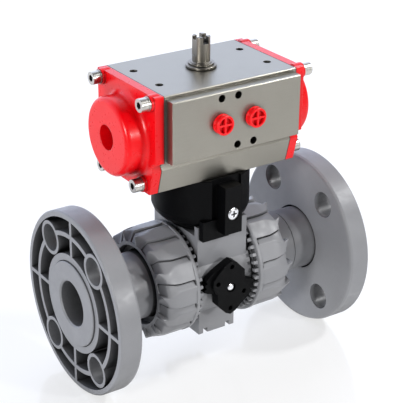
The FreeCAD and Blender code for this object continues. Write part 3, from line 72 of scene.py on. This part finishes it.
class Recipe:
    """Builds one procedural material, with textures in the piece's own frame."""

    def __init__(self, name):
        self.material = bpy.data.materials.new(name)
        self.material.use_nodes = True
        self.tree = self.material.node_tree
        self.shader = self.tree.nodes["Principled BSDF"]
        self.place = self.add("ShaderNodeTexCoord").outputs["Object"]
        self.true_normal = self.add("ShaderNodeNewGeometry").outputs["Normal"]

    def add(self, kind, inputs=None, **settings):
        """A node with its settings, and its inputs linked or given values."""
        node = self.tree.nodes.new(kind)
        for key, value in settings.items():
            setattr(node, key, value)
        for key, value in (inputs or {}).items():
            self.feed(node.inputs[key], value)
        return node

    def feed(self, socket, value):
        """Links a socket to another node's output, or sets its value."""
        if isinstance(value, bpy.types.NodeSocket):
            self.tree.links.new(value, socket)
        else:
            socket.default_value = value

    def noise(self, grain, detail=3.0, roughness=0.55, stretch=(1, 1, 1)):
        """Noise whose features are about grain metres, longer along a stretched axis."""
        mapped = self.add("ShaderNodeMapping", {"Vector": self.place})
        mapped.inputs["Scale"].default_value = [1 / (grain * s) for s in stretch]
        node = self.add("ShaderNodeTexNoise", {
            "Vector": mapped.outputs["Vector"], "Scale": 1.0, "Detail": detail,
            "Roughness": roughness})
        return node.outputs["Fac"]

    def span(self, value, low, high, to_low, to_high):
        """Maps low..high of a value onto to_low..to_high, held at both ends."""
        node = self.add("ShaderNodeMapRange", {
            "Value": value, "From Min": low, "From Max": high,
            "To Min": to_low, "To Max": to_high}, clamp=True)
        return node.outputs["Result"]

    def maths(self, operation, a, b):
        """One arithmetic step between two values or sockets."""
        node = self.add("ShaderNodeMath", operation=operation)
        self.feed(node.inputs[0], a)
        self.feed(node.inputs[1], b)
        return node.outputs[0]

    def blend(self, share, a, b):
        """Colour a turning to colour b as share goes from 0 to 1."""
        node = self.add("ShaderNodeMix", data_type="RGBA")
        self.feed(node.inputs[0], share)
        for socket, value in ((node.inputs[6], a), (node.inputs[7], b)):
            if isinstance(value, tuple):
                value = (*value, 1.0)
            self.feed(socket, value)
        return node.outputs[2]

    def soft_edges(self, radius):
        """Rounded-edge normal, and a mask that is 1 on the edges themselves."""
        bevel = self.add("ShaderNodeBevel", {"Radius": radius}, samples=6)
        dot = self.add("ShaderNodeVectorMath", operation="DOT_PRODUCT")
        self.feed(dot.inputs[0], bevel.outputs["Normal"])
        self.feed(dot.inputs[1], self.true_normal)
        return bevel.outputs["Normal"], self.span(dot.outputs["Value"], 0.97, 0.80, 0.0, 1.0)

    def recess(self, reach, darkest, closed=0.25, clear=0.80):
        """Shade for hollows: 1 in the open, falling to darkest deep inside them."""
        node = self.add("ShaderNodeAmbientOcclusion", {"Distance": reach}, samples=8)
        return self.span(node.outputs["AO"], closed, clear, darkest, 1.0)

    def near_mouth(self, shade):
        """Keeps a shade only in the flange pockets, the pipe and the gap inside each nut."""
        split = self.add("ShaderNodeSeparateXYZ", {"Vector": self.place})
        away = self.maths("ABSOLUTE", split.outputs["X"], 0.0)
        across = self.add("ShaderNodeCombineXYZ", {"Y": split.outputs["Y"],
                                                   "Z": split.outputs["Z"]})
        off_axis = self.add("ShaderNodeVectorMath", {"Vector": across.outputs["Vector"]},
                            operation="LENGTH").outputs["Value"]
        pockets = self.span(away, *FLANGE_INNER_FACE, 0.0, 1.0)
        pipe = self.span(off_axis, *PIPE_WALL, 1.0, 0.0)
        gap = self.maths("MULTIPLY", self.span(away, *GAP_MOUTH, 1.0, 0.0),
                         self.span(off_axis, *GAP_WALL, 1.0, 0.0))
        share = self.maths("MAXIMUM", self.maths("MAXIMUM", pockets, pipe), gap)
        node = self.add("ShaderNodeMix", {"Factor": share, "A": 1.0, "B": shade})
        return node.outputs["Result"]

    def shaded(self, shade, colour):
        """A colour dimmed by a shade value."""
        return self.blend(shade, BLACK, colour)

    def bump(self, height, depth, normal=None):
        """Relief of the given depth in metres for heights from 0 to 1."""
        node = self.add("ShaderNodeBump", {"Height": height, "Distance": depth, "Strength": 1.0})
        if normal is not None:
            self.feed(node.inputs["Normal"], normal)
        return node.outputs["Normal"]

    def finish(self, **values):
        """Feeds the Principled shader's inputs by name and hands back the material."""
        for key, value in values.items():
            if isinstance(value, tuple) and len(value) == 3:
                value = (*value, 1.0)
            self.feed(self.shader.inputs[key.replace("_", " ")], value)
        return self.material


def scaled(colour, factor):
    """A lighter or darker colour, held at 1."""
    return tuple(min(1.0, c * factor) for c in colour)


# ------------------------------------------------------------------ materials

GREY = (0.228, 0.231, 0.244)
NEAR_BLACK = (0.0014, 0.0015, 0.0019)
PLUG_RED = (0.90, 0.002, 0.006)
CASTING_RED = (0.84, 0.0010, 0.005)
# Pinker red for the cast caps' edges: partly rubbed paint, partly a painted highlight.
RUB_AND_SHEEN_RED = (0.84, 0.05, 0.045)
ANODISED = (0.335, 0.320, 0.280)
NICKEL = (0.30, 0.28, 0.245)
STAINLESS = (0.60, 0.58, 0.54)
ZINC = (0.88, 0.89, 0.92)
SPRING_STEEL = (0.42, 0.43, 0.46)
RUBBER = (0.018, 0.018, 0.019)
RUBBER_DUST = (0.05, 0.049, 0.047)
PTFE_DULL = (0.80, 0.79, 0.75)
PTFE = (0.88, 0.87, 0.85)


def moulded_plastic(name, colour, roughness, edge=1.12, edge_radius=0.35 * MM,
                    peel=0.012 * MM, gloss=0.5, darkest=0.08):
    """Moulded plastic: flow mottling, fine peel, edges lighter from wear and a painted highlight,
    fine scuffs, painted shade in corners and hollows.
    """
    r = Recipe(name)
    rounded, on_edge = r.soft_edges(edge_radius)
    mottle = r.noise(22 * MM, 4.0)
    grain = r.noise(0.45 * MM, 2.0)
    tone = r.blend(r.span(mottle, 0.35, 0.65, 0.0, 1.0), scaled(colour, 0.96), scaled(colour, 1.04))
    # Lighter edges: partly wear, partly a painted highlight.
    worn_lit_edge = r.maths("MULTIPLY", on_edge, r.span(r.noise(6 * MM), 0.35, 0.6, 0.35, 1.0))
    tone = r.blend(worn_lit_edge, tone, scaled(colour, edge))
    scuff = r.span(r.noise(0.5 * MM, 2.0, stretch=(14, 1, 1)), 0.62, 0.74, 0.0, 0.10)
    # Painted shade: darker deep in the flange pockets, the pipe and the gap inside each nut, and in
    # tight corners everywhere.
    hollow = r.near_mouth(r.recess(44 * MM, 0.12))
    crevice = r.recess(6 * MM, darkest, 0.22, 0.66)
    tone = r.shaded(r.maths("MULTIPLY", hollow, crevice), tone)
    shine = r.span(r.noise(5 * MM, 3.0), 0.3, 0.7, roughness - 0.05, roughness + 0.07)
    relief = r.bump(grain, peel, r.bump(r.noise(9 * MM, 2.0), 0.05 * MM, rounded))
    return r.finish(Base_Color=tone, Roughness=r.maths("ADD", shine, scuff), Normal=relief,
                    IOR=1.5, Specular_IOR_Level=gloss)


def coated_casting(name, colour):
    """Gloss powder coat over a die casting: orange peel, a clear top layer, pinker edges from wear
    and a painted highlight, and painted shade in hollows.
    """
    r = Recipe(name)
    rounded, on_edge = r.soft_edges(0.8 * MM)
    mottle = r.span(r.noise(16 * MM, 3.0), 0.3, 0.7, 0.0, 1.0)
    tone = r.blend(mottle, scaled(colour, 0.96), colour)
    # Pinker edges: partly rubbed paint, partly a painted highlight.
    tone = r.blend(r.maths("MULTIPLY", on_edge, 0.35), tone, RUB_AND_SHEEN_RED)
    # Painted shade in hollows.
    tone = r.shaded(r.recess(12 * MM, 0.16), tone)
    relief = r.bump(r.noise(1.3 * MM, 2.0), 0.004 * MM, rounded)
    shine = r.span(r.noise(3 * MM, 3.0), 0.3, 0.7, 0.26, 0.34)
    return r.finish(Base_Color=tone, Roughness=shine, Normal=relief,
                    Specular_IOR_Level=0.28, Coat_Weight=0.12, Coat_Roughness=0.14)


def brushed_metal(name, colour, roughness, streak, grain=0.16 * MM, edge_radius=0.35 * MM,
                  depth=0.006 * MM):
    """Metal with a directional finish; streak is the stretch along each axis. Its edges are lighter
    from wear and a painted highlight, and its hollows carry painted shade.
    """
    r = Recipe(name)
    rounded, on_edge = r.soft_edges(edge_radius)
    lines = r.noise(grain, 3.0, 0.7, streak)
    cloud = r.noise(18 * MM, 3.0)
    tone = r.blend(r.span(lines, 0.3, 0.7, 0.0, 1.0), scaled(colour, 0.90), scaled(colour, 1.06))
    tone = r.blend(r.span(cloud, 0.35, 0.65, 0.0, 0.25), tone, scaled(colour, 0.86))
    # Lighter edges: partly wear, partly a painted highlight.
    tone = r.blend(r.maths("MULTIPLY", on_edge, 0.5), tone, scaled(colour, 1.35))
    # Painted shade in hollows.
    tone = r.shaded(r.recess(14 * MM, 0.28, 0.35, 0.84), tone)
    shine = r.span(lines, 0.3, 0.7, roughness - 0.06, roughness + 0.08)
    relief = r.bump(lines, depth, rounded)
    return r.finish(Base_Color=tone, Roughness=shine, Normal=relief, Metallic=1.0)


def elastomer(name):
    """Moulded rubber: matt, dusty, slightly uneven."""
    r = Recipe(name)
    dust = r.span(r.noise(2.5 * MM, 4.0), 0.5, 0.75, 0.0, 0.5)
    tone = r.blend(dust, RUBBER, RUBBER_DUST)
    shine = r.span(r.noise(1.0 * MM), 0.3, 0.7, 0.55, 0.75)
    relief = r.bump(r.noise(0.3 * MM), 0.01 * MM)
    return r.finish(Base_Color=tone, Roughness=shine, Normal=relief)


def machined_ptfe(name):
    """Turned fluoropolymer: waxy off-white with faint tool rings."""
    r = Recipe(name)
    rounded, _ = r.soft_edges(0.3 * MM)
    tone = r.blend(r.span(r.noise(7 * MM), 0.3, 0.7, 0.0, 1.0), PTFE_DULL, PTFE)
    rings = r.noise(0.25 * MM, 2.0, stretch=(1, 30, 30))
    return r.finish(Base_Color=tone, Roughness=r.span(rings, 0.3, 0.7, 0.32, 0.46),
                    Normal=r.bump(rings, 0.008 * MM, rounded), Subsurface_Weight=0.15)


def make_materials():
    """One material for each slot of the record."""
    return {
        "grey_pvc": moulded_plastic("grey_pvc", GREY, 0.40),
        "grey_pvc_dark": moulded_plastic("grey_pvc_dark", scaled(GREY, 0.8), 0.45),
        "black_nylon": moulded_plastic("black_nylon", NEAR_BLACK, 0.48, 2.0, gloss=0.09),
        "red_plastic": moulded_plastic("red_plastic", PLUG_RED, 0.32, 1.0, 0.4 * MM,
                                       gloss=0.35, darkest=0.7),
        "red_casting": coated_casting("red_casting", CASTING_RED),
        "anodised_aluminium": brushed_metal("anodised_aluminium", ANODISED, 0.38,
                                            (160, 1, 1), 0.10 * MM),
        "nickel_steel": brushed_metal("nickel_steel", NICKEL, 0.38, (30, 30, 1)),
        "stainless": brushed_metal("stainless", STAINLESS, 0.30, (1, 18, 18)),
        "zinc_screw": brushed_metal("zinc_screw", ZINC, 0.22, (9, 1, 9), 0.3 * MM),
        "spring_steel": brushed_metal("spring_steel", SPRING_STEEL, 0.34, (6, 6, 6)),
        "black_rubber": elastomer("black_rubber"),
        "white_ptfe": machined_ptfe("white_ptfe"),
    }


def dress(obj, slot_name):
    """Gives a piece one material and names its slot."""
    obj.data.materials.clear()
    obj.data.materials.append(MATERIALS[slot_name])
    return obj


def dress_cad_nodes():
    """Every CAD piece gets the material of its slot in the record."""
    for name, obj in NODES.items():
        for k in range(len(obj.material_slots)):
            obj.material_slots[k].material = MATERIALS[SLOT_OF[name]]
        if not obj.material_slots:
            obj.data.materials.append(MATERIALS[SLOT_OF[name]])


# --------------------------------------------------------------- mesh helpers

def smooth_step(low, high, value):
    """0 at low, 1 at high, with a smooth S between them."""
    t = min(1.0, max(0.0, (value - low) / (high - low)))
    return t * t * (3 - 2 * t)


def new_piece(name, bm, slot_name, body, crease=math.radians(32)):
    """Turns a bmesh into a smooth-shaded piece that rides on a body."""
    bmesh.ops.recalc_face_normals(bm, faces=bm.faces)
    for face in bm.faces:
        face.smooth = True
    for edge in bm.edges:
        if len(edge.link_faces) == 2 and edge.calc_face_angle(0.0) > crease:
            edge.smooth = False
    mesh = bpy.data.meshes.new(name)
    bm.to_mesh(mesh)
    bm.free()
    obj = bpy.data.objects.new(name, mesh)
    bpy.context.scene.collection.objects.link(obj)
    dress(obj, slot_name)
    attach(obj, body)
    return obj


def ring_grid(bm, rows):
    """Joins rows of points, each once round, into a skin of quads; the last meets the first."""
    verts = [[bm.verts.new(p) for p in row] for row in rows]
    count = len(rows[0])
    for a, b in zip(verts, verts[1:] + verts[:1]):
        for k in range(count):
            n = (k + 1) % count
            bm.faces.new((a[k], a[n], b[n], b[k]))


# ------------------------------------------------------------------ union nut

# The grip is fourteen panels round. Each starts as a high flat, falls away past its
# ridge, and ends low in a thin groove, where a step rises to the next panel. That
# step is the panel's line. At the outer end a scoop cuts each panel back and leaves
# a pointed tip on the ridge, round a thin end ring. x runs from the crown teeth
# outwards, and u from 0 to 1 across a panel.

PANELS = 14
PITCH = 2 * math.pi / PANELS
NUT_MOUTH = 23.5
NUT_RIM = 25.8
NUT_END = 51.5
NUT_RADIUS = 37.2
THREAD_RADIUS = 30.4
MOUTH_RADIUS = 31.6
PANEL_STEP = 2.2
PANEL_SAG = 0.4
PANEL_CORNER = 1.5
PANEL_WIDTH = PITCH * NUT_RADIUS
PANEL_TWIST = math.radians(6.5)
TWIST_START = 37.0
RIDGE_AT_RIM = 0.70
RIDGE_AT_END = 0.38
RIDGE_SHIFT = (37.0, 47.0)
STEP_WALL = 0.25
GROOVE_FLAT = 0.55
GROOVE_WIDTH = 1.0
GROOVE_DEPTH = 0.9
END_TAPER = 1.1
TAPER_SPAN = (40.0, 50.5)
SCOOP_START = 46.2
SCOOP_SLOPE = 2.3
SCOOP_EASE = 0.8
SCOOP_FLOOR = 28.3
TIP_END = NUT_END - 0.4
TIP_FLANK = 0.07
RING_END = 50.2
RING_LENGTH = 0.5
RING_RADIUS = 29.3
RING_SQUEEZE = 0.02
GAP_RADIUS = 26.6
GAP_FLOOR = 44.6
NECK_HOLE = 22.9
SHOULDER = (36.2, 41.8)
SHOULDER_RADIUS = 26.1
NUT_PHASE = {"left": math.radians(-5.8), "right": math.radians(-9.8)}
CROWN_TEETH = 42
TOOTH_ROOT = (NUT_MOUTH + 0.4, 0.27, 31.5, 35.6)
TOOTH_TIP = (20.3, 0.19, 31.9, 35.2)


def nut_twist(x):
    """How far the panel lines have turned at x: straight at first, curling at the end."""
    past = max(0.0, x - TWIST_START) / (NUT_END - TWIST_START)
    return PANEL_TWIST * past ** 1.5


def chord(radius_a, radius_b, span, angle):
    """Radius at an angle along the straight line between two corner points."""
    across = radius_b * math.sin(span - angle) + radius_a * math.sin(angle)
    return radius_a * radius_b * math.sin(span) / across


def inside_panel(x, u):
    """Distance in from the panel's line and from the rim, round their shared corner."""
    from_rim = max(0.0, x - NUT_RIM)
    from_line = (1.0 - u) * PANEL_WIDTH
    if from_rim < PANEL_CORNER and from_line < PANEL_CORNER:
        return PANEL_CORNER - math.hypot(PANEL_CORNER - from_rim, PANEL_CORNER - from_line)
    return min(from_rim, from_line)


def nut_radius(x, u):
    """Radius of the nut's grip at x for a place u (0 to 1) across a panel."""
    ridge = RIDGE_AT_RIM + (RIDGE_AT_END - RIDGE_AT_RIM) * smooth_step(*RIDGE_SHIFT, x)
    low, high, tail = NUT_RADIUS - PANEL_SAG, NUT_RADIUS, NUT_RADIUS - PANEL_STEP
    if u <= ridge:
        flat = chord(low, high, ridge * PITCH, u * PITCH)
        tip = (u / ridge) ** 2
    else:
        flat = chord(high, tail, (1 - ridge) * PITCH, (u - ridge) * PITCH)
        tip = smooth_step(TIP_FLANK, 0.0, u - ridge)
    drop = NUT_RADIUS - flat
    depth_share = drop / PANEL_STEP if u > ridge else 0.0
    inside = inside_panel(x, u)
    wall = smooth_step(0.0, STEP_WALL, inside)
    groove = wall - smooth_step(GROOVE_FLAT, GROOVE_WIDTH, inside)
    drop *= wall
    drop += GROOVE_DEPTH * groove * smooth_step(0.15, 0.45, depth_share)
    drop += END_TAPER * smooth_step(*TAPER_SPAN, x)
    past = max(0.0, x - SCOOP_START - (TIP_END - SCOOP_START) * tip)
    drop += SCOOP_SLOPE * past * past / (past + SCOOP_EASE)
    floor = RING_RADIUS if x > RING_END - RING_LENGTH else SCOOP_FLOOR
    return max(floor, NUT_RADIUS - drop)


def panel_shares():
    """Places across a panel: even at first, then close together at the groove and line."""
    even = [k / 20 for k in range(19)]
    groove = [0.92, 0.935, 0.942, 0.950, 0.958, 0.966, 0.975]
    return even + groove + [0.983, 0.988, 0.993, 0.997]


def grip_stations():
    """Places along the grip: close together at the rim's corner and over the scoop."""
    corner = [0.0, 0.12, 0.25, 0.4, 0.55, 0.7, 0.85, 1.0, 1.3, 1.7, 2.2, 3.0, 4.0, 5.0]
    stations = [NUT_RIM + d for d in corner]
    stations += [NUT_RIM + 6.2 + 1.2 * k for k in range(11)]
    return stations + [SCOOP_START + 0.4 * k for k in range(13)]


def make_nut(side, sign):
    """Union nut: fourteen stepped grip panels with curved lines, on a plain rim."""
    shares = panel_shares()

    def row(x, radius_of):
        points = []
        for panel in range(PANELS):
            for u in shares:
                angle = NUT_PHASE[side] + PITCH * (panel + u) + nut_twist(x)
                r = radius_of(u)
                along = x
                if r <= RING_RADIUS:
                    along = min(x, RING_END + RING_SQUEEZE * (x - RING_END))
                place = (along * sign, -r * math.cos(angle), r * math.sin(angle))
                points.append(Vector(place) * MM)
        return points

    shoulder_low, shoulder_high = SHOULDER
    rim = ((NUT_MOUTH + 0.3, THREAD_RADIUS), (NUT_MOUTH, MOUTH_RADIUS),
           (NUT_MOUTH, NUT_RADIUS - 0.7), (NUT_MOUTH + 0.2, NUT_RADIUS - 0.2),
           (NUT_MOUTH + 0.7, NUT_RADIUS), (NUT_RIM - 0.2, NUT_RADIUS))
    inner = ((RING_END, RING_RADIUS - 0.2), (RING_END, GAP_RADIUS + 0.3),
             (RING_END - 0.3, GAP_RADIUS), (GAP_FLOOR + 0.2, GAP_RADIUS),
             (GAP_FLOOR, GAP_RADIUS - 0.3), (GAP_FLOOR, NECK_HOLE + 0.3),
             (GAP_FLOOR - 0.3, NECK_HOLE), (shoulder_high, NECK_HOLE),
             (shoulder_high - 0.1, SHOULDER_RADIUS), (shoulder_low, SHOULDER_RADIUS),
             (shoulder_low - 0.1, THREAD_RADIUS))
    rows = [row(x, lambda u, r=r: r) for x, r in rim]
    rows += [row(x, lambda u, x=x: nut_radius(x, u)) for x in grip_stations()]
    rows += [row(x, lambda u, r=r: r) for x, r in inner]
    bm = bmesh.new()
    ring_grid(bm, rows)
    nut = new_piece("nut_skin_" + side, bm, "grey_pvc", side + "_nut", math.radians(40))
    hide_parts("union_nut_" + side)
    make_nut_crown(side, sign)


def make_nut_crown(side, sign):
    """Ring of ratchet teeth on the nut's inner rim."""
    bm = bmesh.new()
    pitch = 2 * math.pi / CROWN_TEETH
    for k in range(CROWN_TEETH):
        ends = []
        for x, share, low, high in (TOOTH_ROOT, TOOTH_TIP):
            corners = []
            for edge, r in ((-1, low), (1, low), (1, high), (-1, high)):
                angle = pitch * k + edge * share * pitch
                place = (x * sign, r * math.cos(angle) * sign, r * math.sin(angle))
                corners.append(bm.verts.new(Vector(place) * MM))
            bm.faces.new(corners)
            ends.append(corners)
        a, b = ends
        for n in range(4):
            bm.faces.new((a[n], a[(n + 1) % 4], b[(n + 1) % 4], b[n]))
    bmesh.ops.recalc_face_normals(bm, faces=bm.faces)
    bmesh.ops.bevel(bm, geom=bm.edges[:], offset=0.28 * MM, segments=2, profile=0.6,
                    affect="EDGES")
    new_piece("nut_crown_" + side, bm, "grey_pvc", side + "_nut")


# -------------------------------------------------------------- return springs


def make_spring(side):
    """The CAD coil again, as its own piece in spring steel, with the CAD node hidden."""
    node = "return_spring_" + side
    coil = bpy.data.objects.new("spring_coil_" + side, NODES[node].data.copy())
    bpy.context.scene.collection.objects.link(coil)
    dress(coil, "spring_steel")
    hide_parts(node)
    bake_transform(coil)


# -------------------------------------------------------------- stage and light

# Depth over the floor grows away from the camera, by these shares of X and Y. The
# glow rises over the first two numbers of its span, from the third to the fourth.

FLOOR_Z = -60.6 * MM
FLOOR_HALF = 6.0
FLOOR_GREY = (0.40, 0.40, 0.40)
DEPTH_SHARES = (0.56, 0.83)
GLOW_SPAN = (-0.45, -0.12, 0.12, 0.58)


def make_floor():
    """Wide pale glossy floor: it glows softly, more towards the back, like a lit sweep."""
    bm = bmesh.new()
    bmesh.ops.create_grid(bm, x_segments=8, y_segments=8, size=FLOOR_HALF)
    for v in bm.verts:
        v.co.z = FLOOR_Z
    mesh = bpy.data.meshes.new("floor")
    bm.to_mesh(mesh)
    bm.free()
    floor = bpy.data.objects.new("floor", mesh)
    bpy.context.scene.collection.objects.link(floor)
    r = Recipe("studio_floor")
    haze = r.span(r.noise(60 * MM, 3.0), 0.3, 0.7, 0.10, 0.16)
    split = r.add("ShaderNodeSeparateXYZ", {"Vector": r.place})
    depth = r.maths("ADD", r.maths("MULTIPLY", split.outputs["X"], DEPTH_SHARES[0]),
                    r.maths("MULTIPLY", split.outputs["Y"], DEPTH_SHARES[1]))
    mesh.materials.append(r.finish(Base_Color=FLOOR_GREY, Roughness=haze,
                                   Specular_IOR_Level=0.30, Emission_Color=WHITE,
                                   Emission_Strength=r.span(depth, *GLOW_SPAN)))


def area_light(name, place, aim, size, power, colour=WHITE):
    """A square soft light at a place, turned towards its aim."""
    data = bpy.data.lights.new(name, "AREA")
    data.size = size
    data.energy = power
    data.color = colour
    light = bpy.data.objects.new(name, data)
    light.location = place
    light.rotation_mode = "QUATERNION"
    light.rotation_quaternion = (Vector(aim) - Vector(place)).to_track_quat("-Z", "Y")
    bpy.context.scene.collection.objects.link(light)


# Each part of the light level: an axis of the direction looked in, the stretch of it
# that matters, and what the part adds at either end.

SKY_PARTS = (("X", -0.60, 0.10, 0.12, 0.30),
             ("Y", 0.00, 0.60, 0.0, 1.45),
             ("Z", 0.40, 0.90, 0.0, -0.30))
WARM_FRONT = (1.0, 0.98, 0.95, 1)
COOL_BACK = (0.86, 0.95, 1.18, 1)


def make_sky():
    """Studio walls: dim in front and to the left, bright and cool behind, less overhead."""
    world = bpy.data.worlds.new("studio")
    bpy.context.scene.world = world
    world.use_nodes = True
    tree = world.node_tree
    ground = tree.nodes["Background"]
    place = tree.nodes.new("ShaderNodeTexCoord")
    split = tree.nodes.new("ShaderNodeSeparateXYZ")
    tree.links.new(place.outputs["Generated"], split.inputs[0])
    level = None
    for axis, *limits in SKY_PARTS:
        part = tree.nodes.new("ShaderNodeMapRange")
        for key, value in zip(("From Min", "From Max", "To Min", "To Max"), limits):
            part.inputs[key].default_value = value
        tree.links.new(split.outputs[axis], part.inputs["Value"])
        if level is None:
            level = part.outputs["Result"]
            continue
        total = tree.nodes.new("ShaderNodeMath")
        tree.links.new(level, total.inputs[0])
        tree.links.new(part.outputs["Result"], total.inputs[1])
        level = total.outputs[0]
    tint = tree.nodes.new("ShaderNodeValToRGB")
    tree.links.new(split.outputs["Y"], tint.inputs[0])
    front, back = tint.color_ramp.elements
    front.color = WARM_FRONT
    back.color = COOL_BACK
    back.position = 0.55
    tree.links.new(tint.outputs[0], ground.inputs["Color"])
    tree.links.new(level, ground.inputs["Strength"])


def make_lights():
    """Three small soft lights: from the left, from the front, and high on the right."""
    area_light("key_left", (-0.95, -0.52, 0.46), (0.0, 0.0, 0.03), 0.26, 8.2)
    area_light("key_front", (0.40, -1.10, 0.42), (0.0, 0.0, 0.02), 0.10, 5.4)
    area_light("key_right", (0.80, -0.40, 0.90), (0.0, 0.0, 0.05), 0.14, 7.2, COOL_WHITE)


CAMERA_AZIMUTH = math.radians(33.83)
CAMERA_ELEVATION = math.radians(24.88)
CAMERA_ROLL = math.radians(0.45)
CAMERA_TARGET = Vector((55.18, 80.63, 1.61)) * MM
CAMERA_DISTANCE = 0.9507
CAMERA_LENS = 115.2


def make_camera():
    """Camera at the viewing angle, 0.95 m from its target, with a long lens."""
    level = math.cos(CAMERA_ELEVATION)
    ahead = Vector((math.sin(CAMERA_AZIMUTH) * level, math.cos(CAMERA_AZIMUTH) * level,
                    -math.sin(CAMERA_ELEVATION)))
    data = bpy.data.cameras.new("camera")
    data.lens = CAMERA_LENS
    data.sensor_width = 36.0
    data.clip_start = 0.01
    data.clip_end = 50.0
    camera = bpy.data.objects.new("camera", data)
    camera.location = CAMERA_TARGET - ahead * CAMERA_DISTANCE
    camera.rotation_mode = "QUATERNION"
    roll = Quaternion((0, 0, 1), CAMERA_ROLL)
    camera.rotation_quaternion = ahead.to_track_quat("-Z", "Y") @ roll
    bpy.context.scene.collection.objects.link(camera)
    bpy.context.scene.camera = camera


# ----------------------------------------------------------------------- build

bpy.context.scene.view_settings.view_transform = "Standard"
MATERIALS = make_materials()
make_camera()
make_floor()
make_sky()
make_lights()
dress_cad_nodes()
for side_name, side_sign in SIDES:
    make_nut(side_name, side_sign)
    make_spring(side_name)
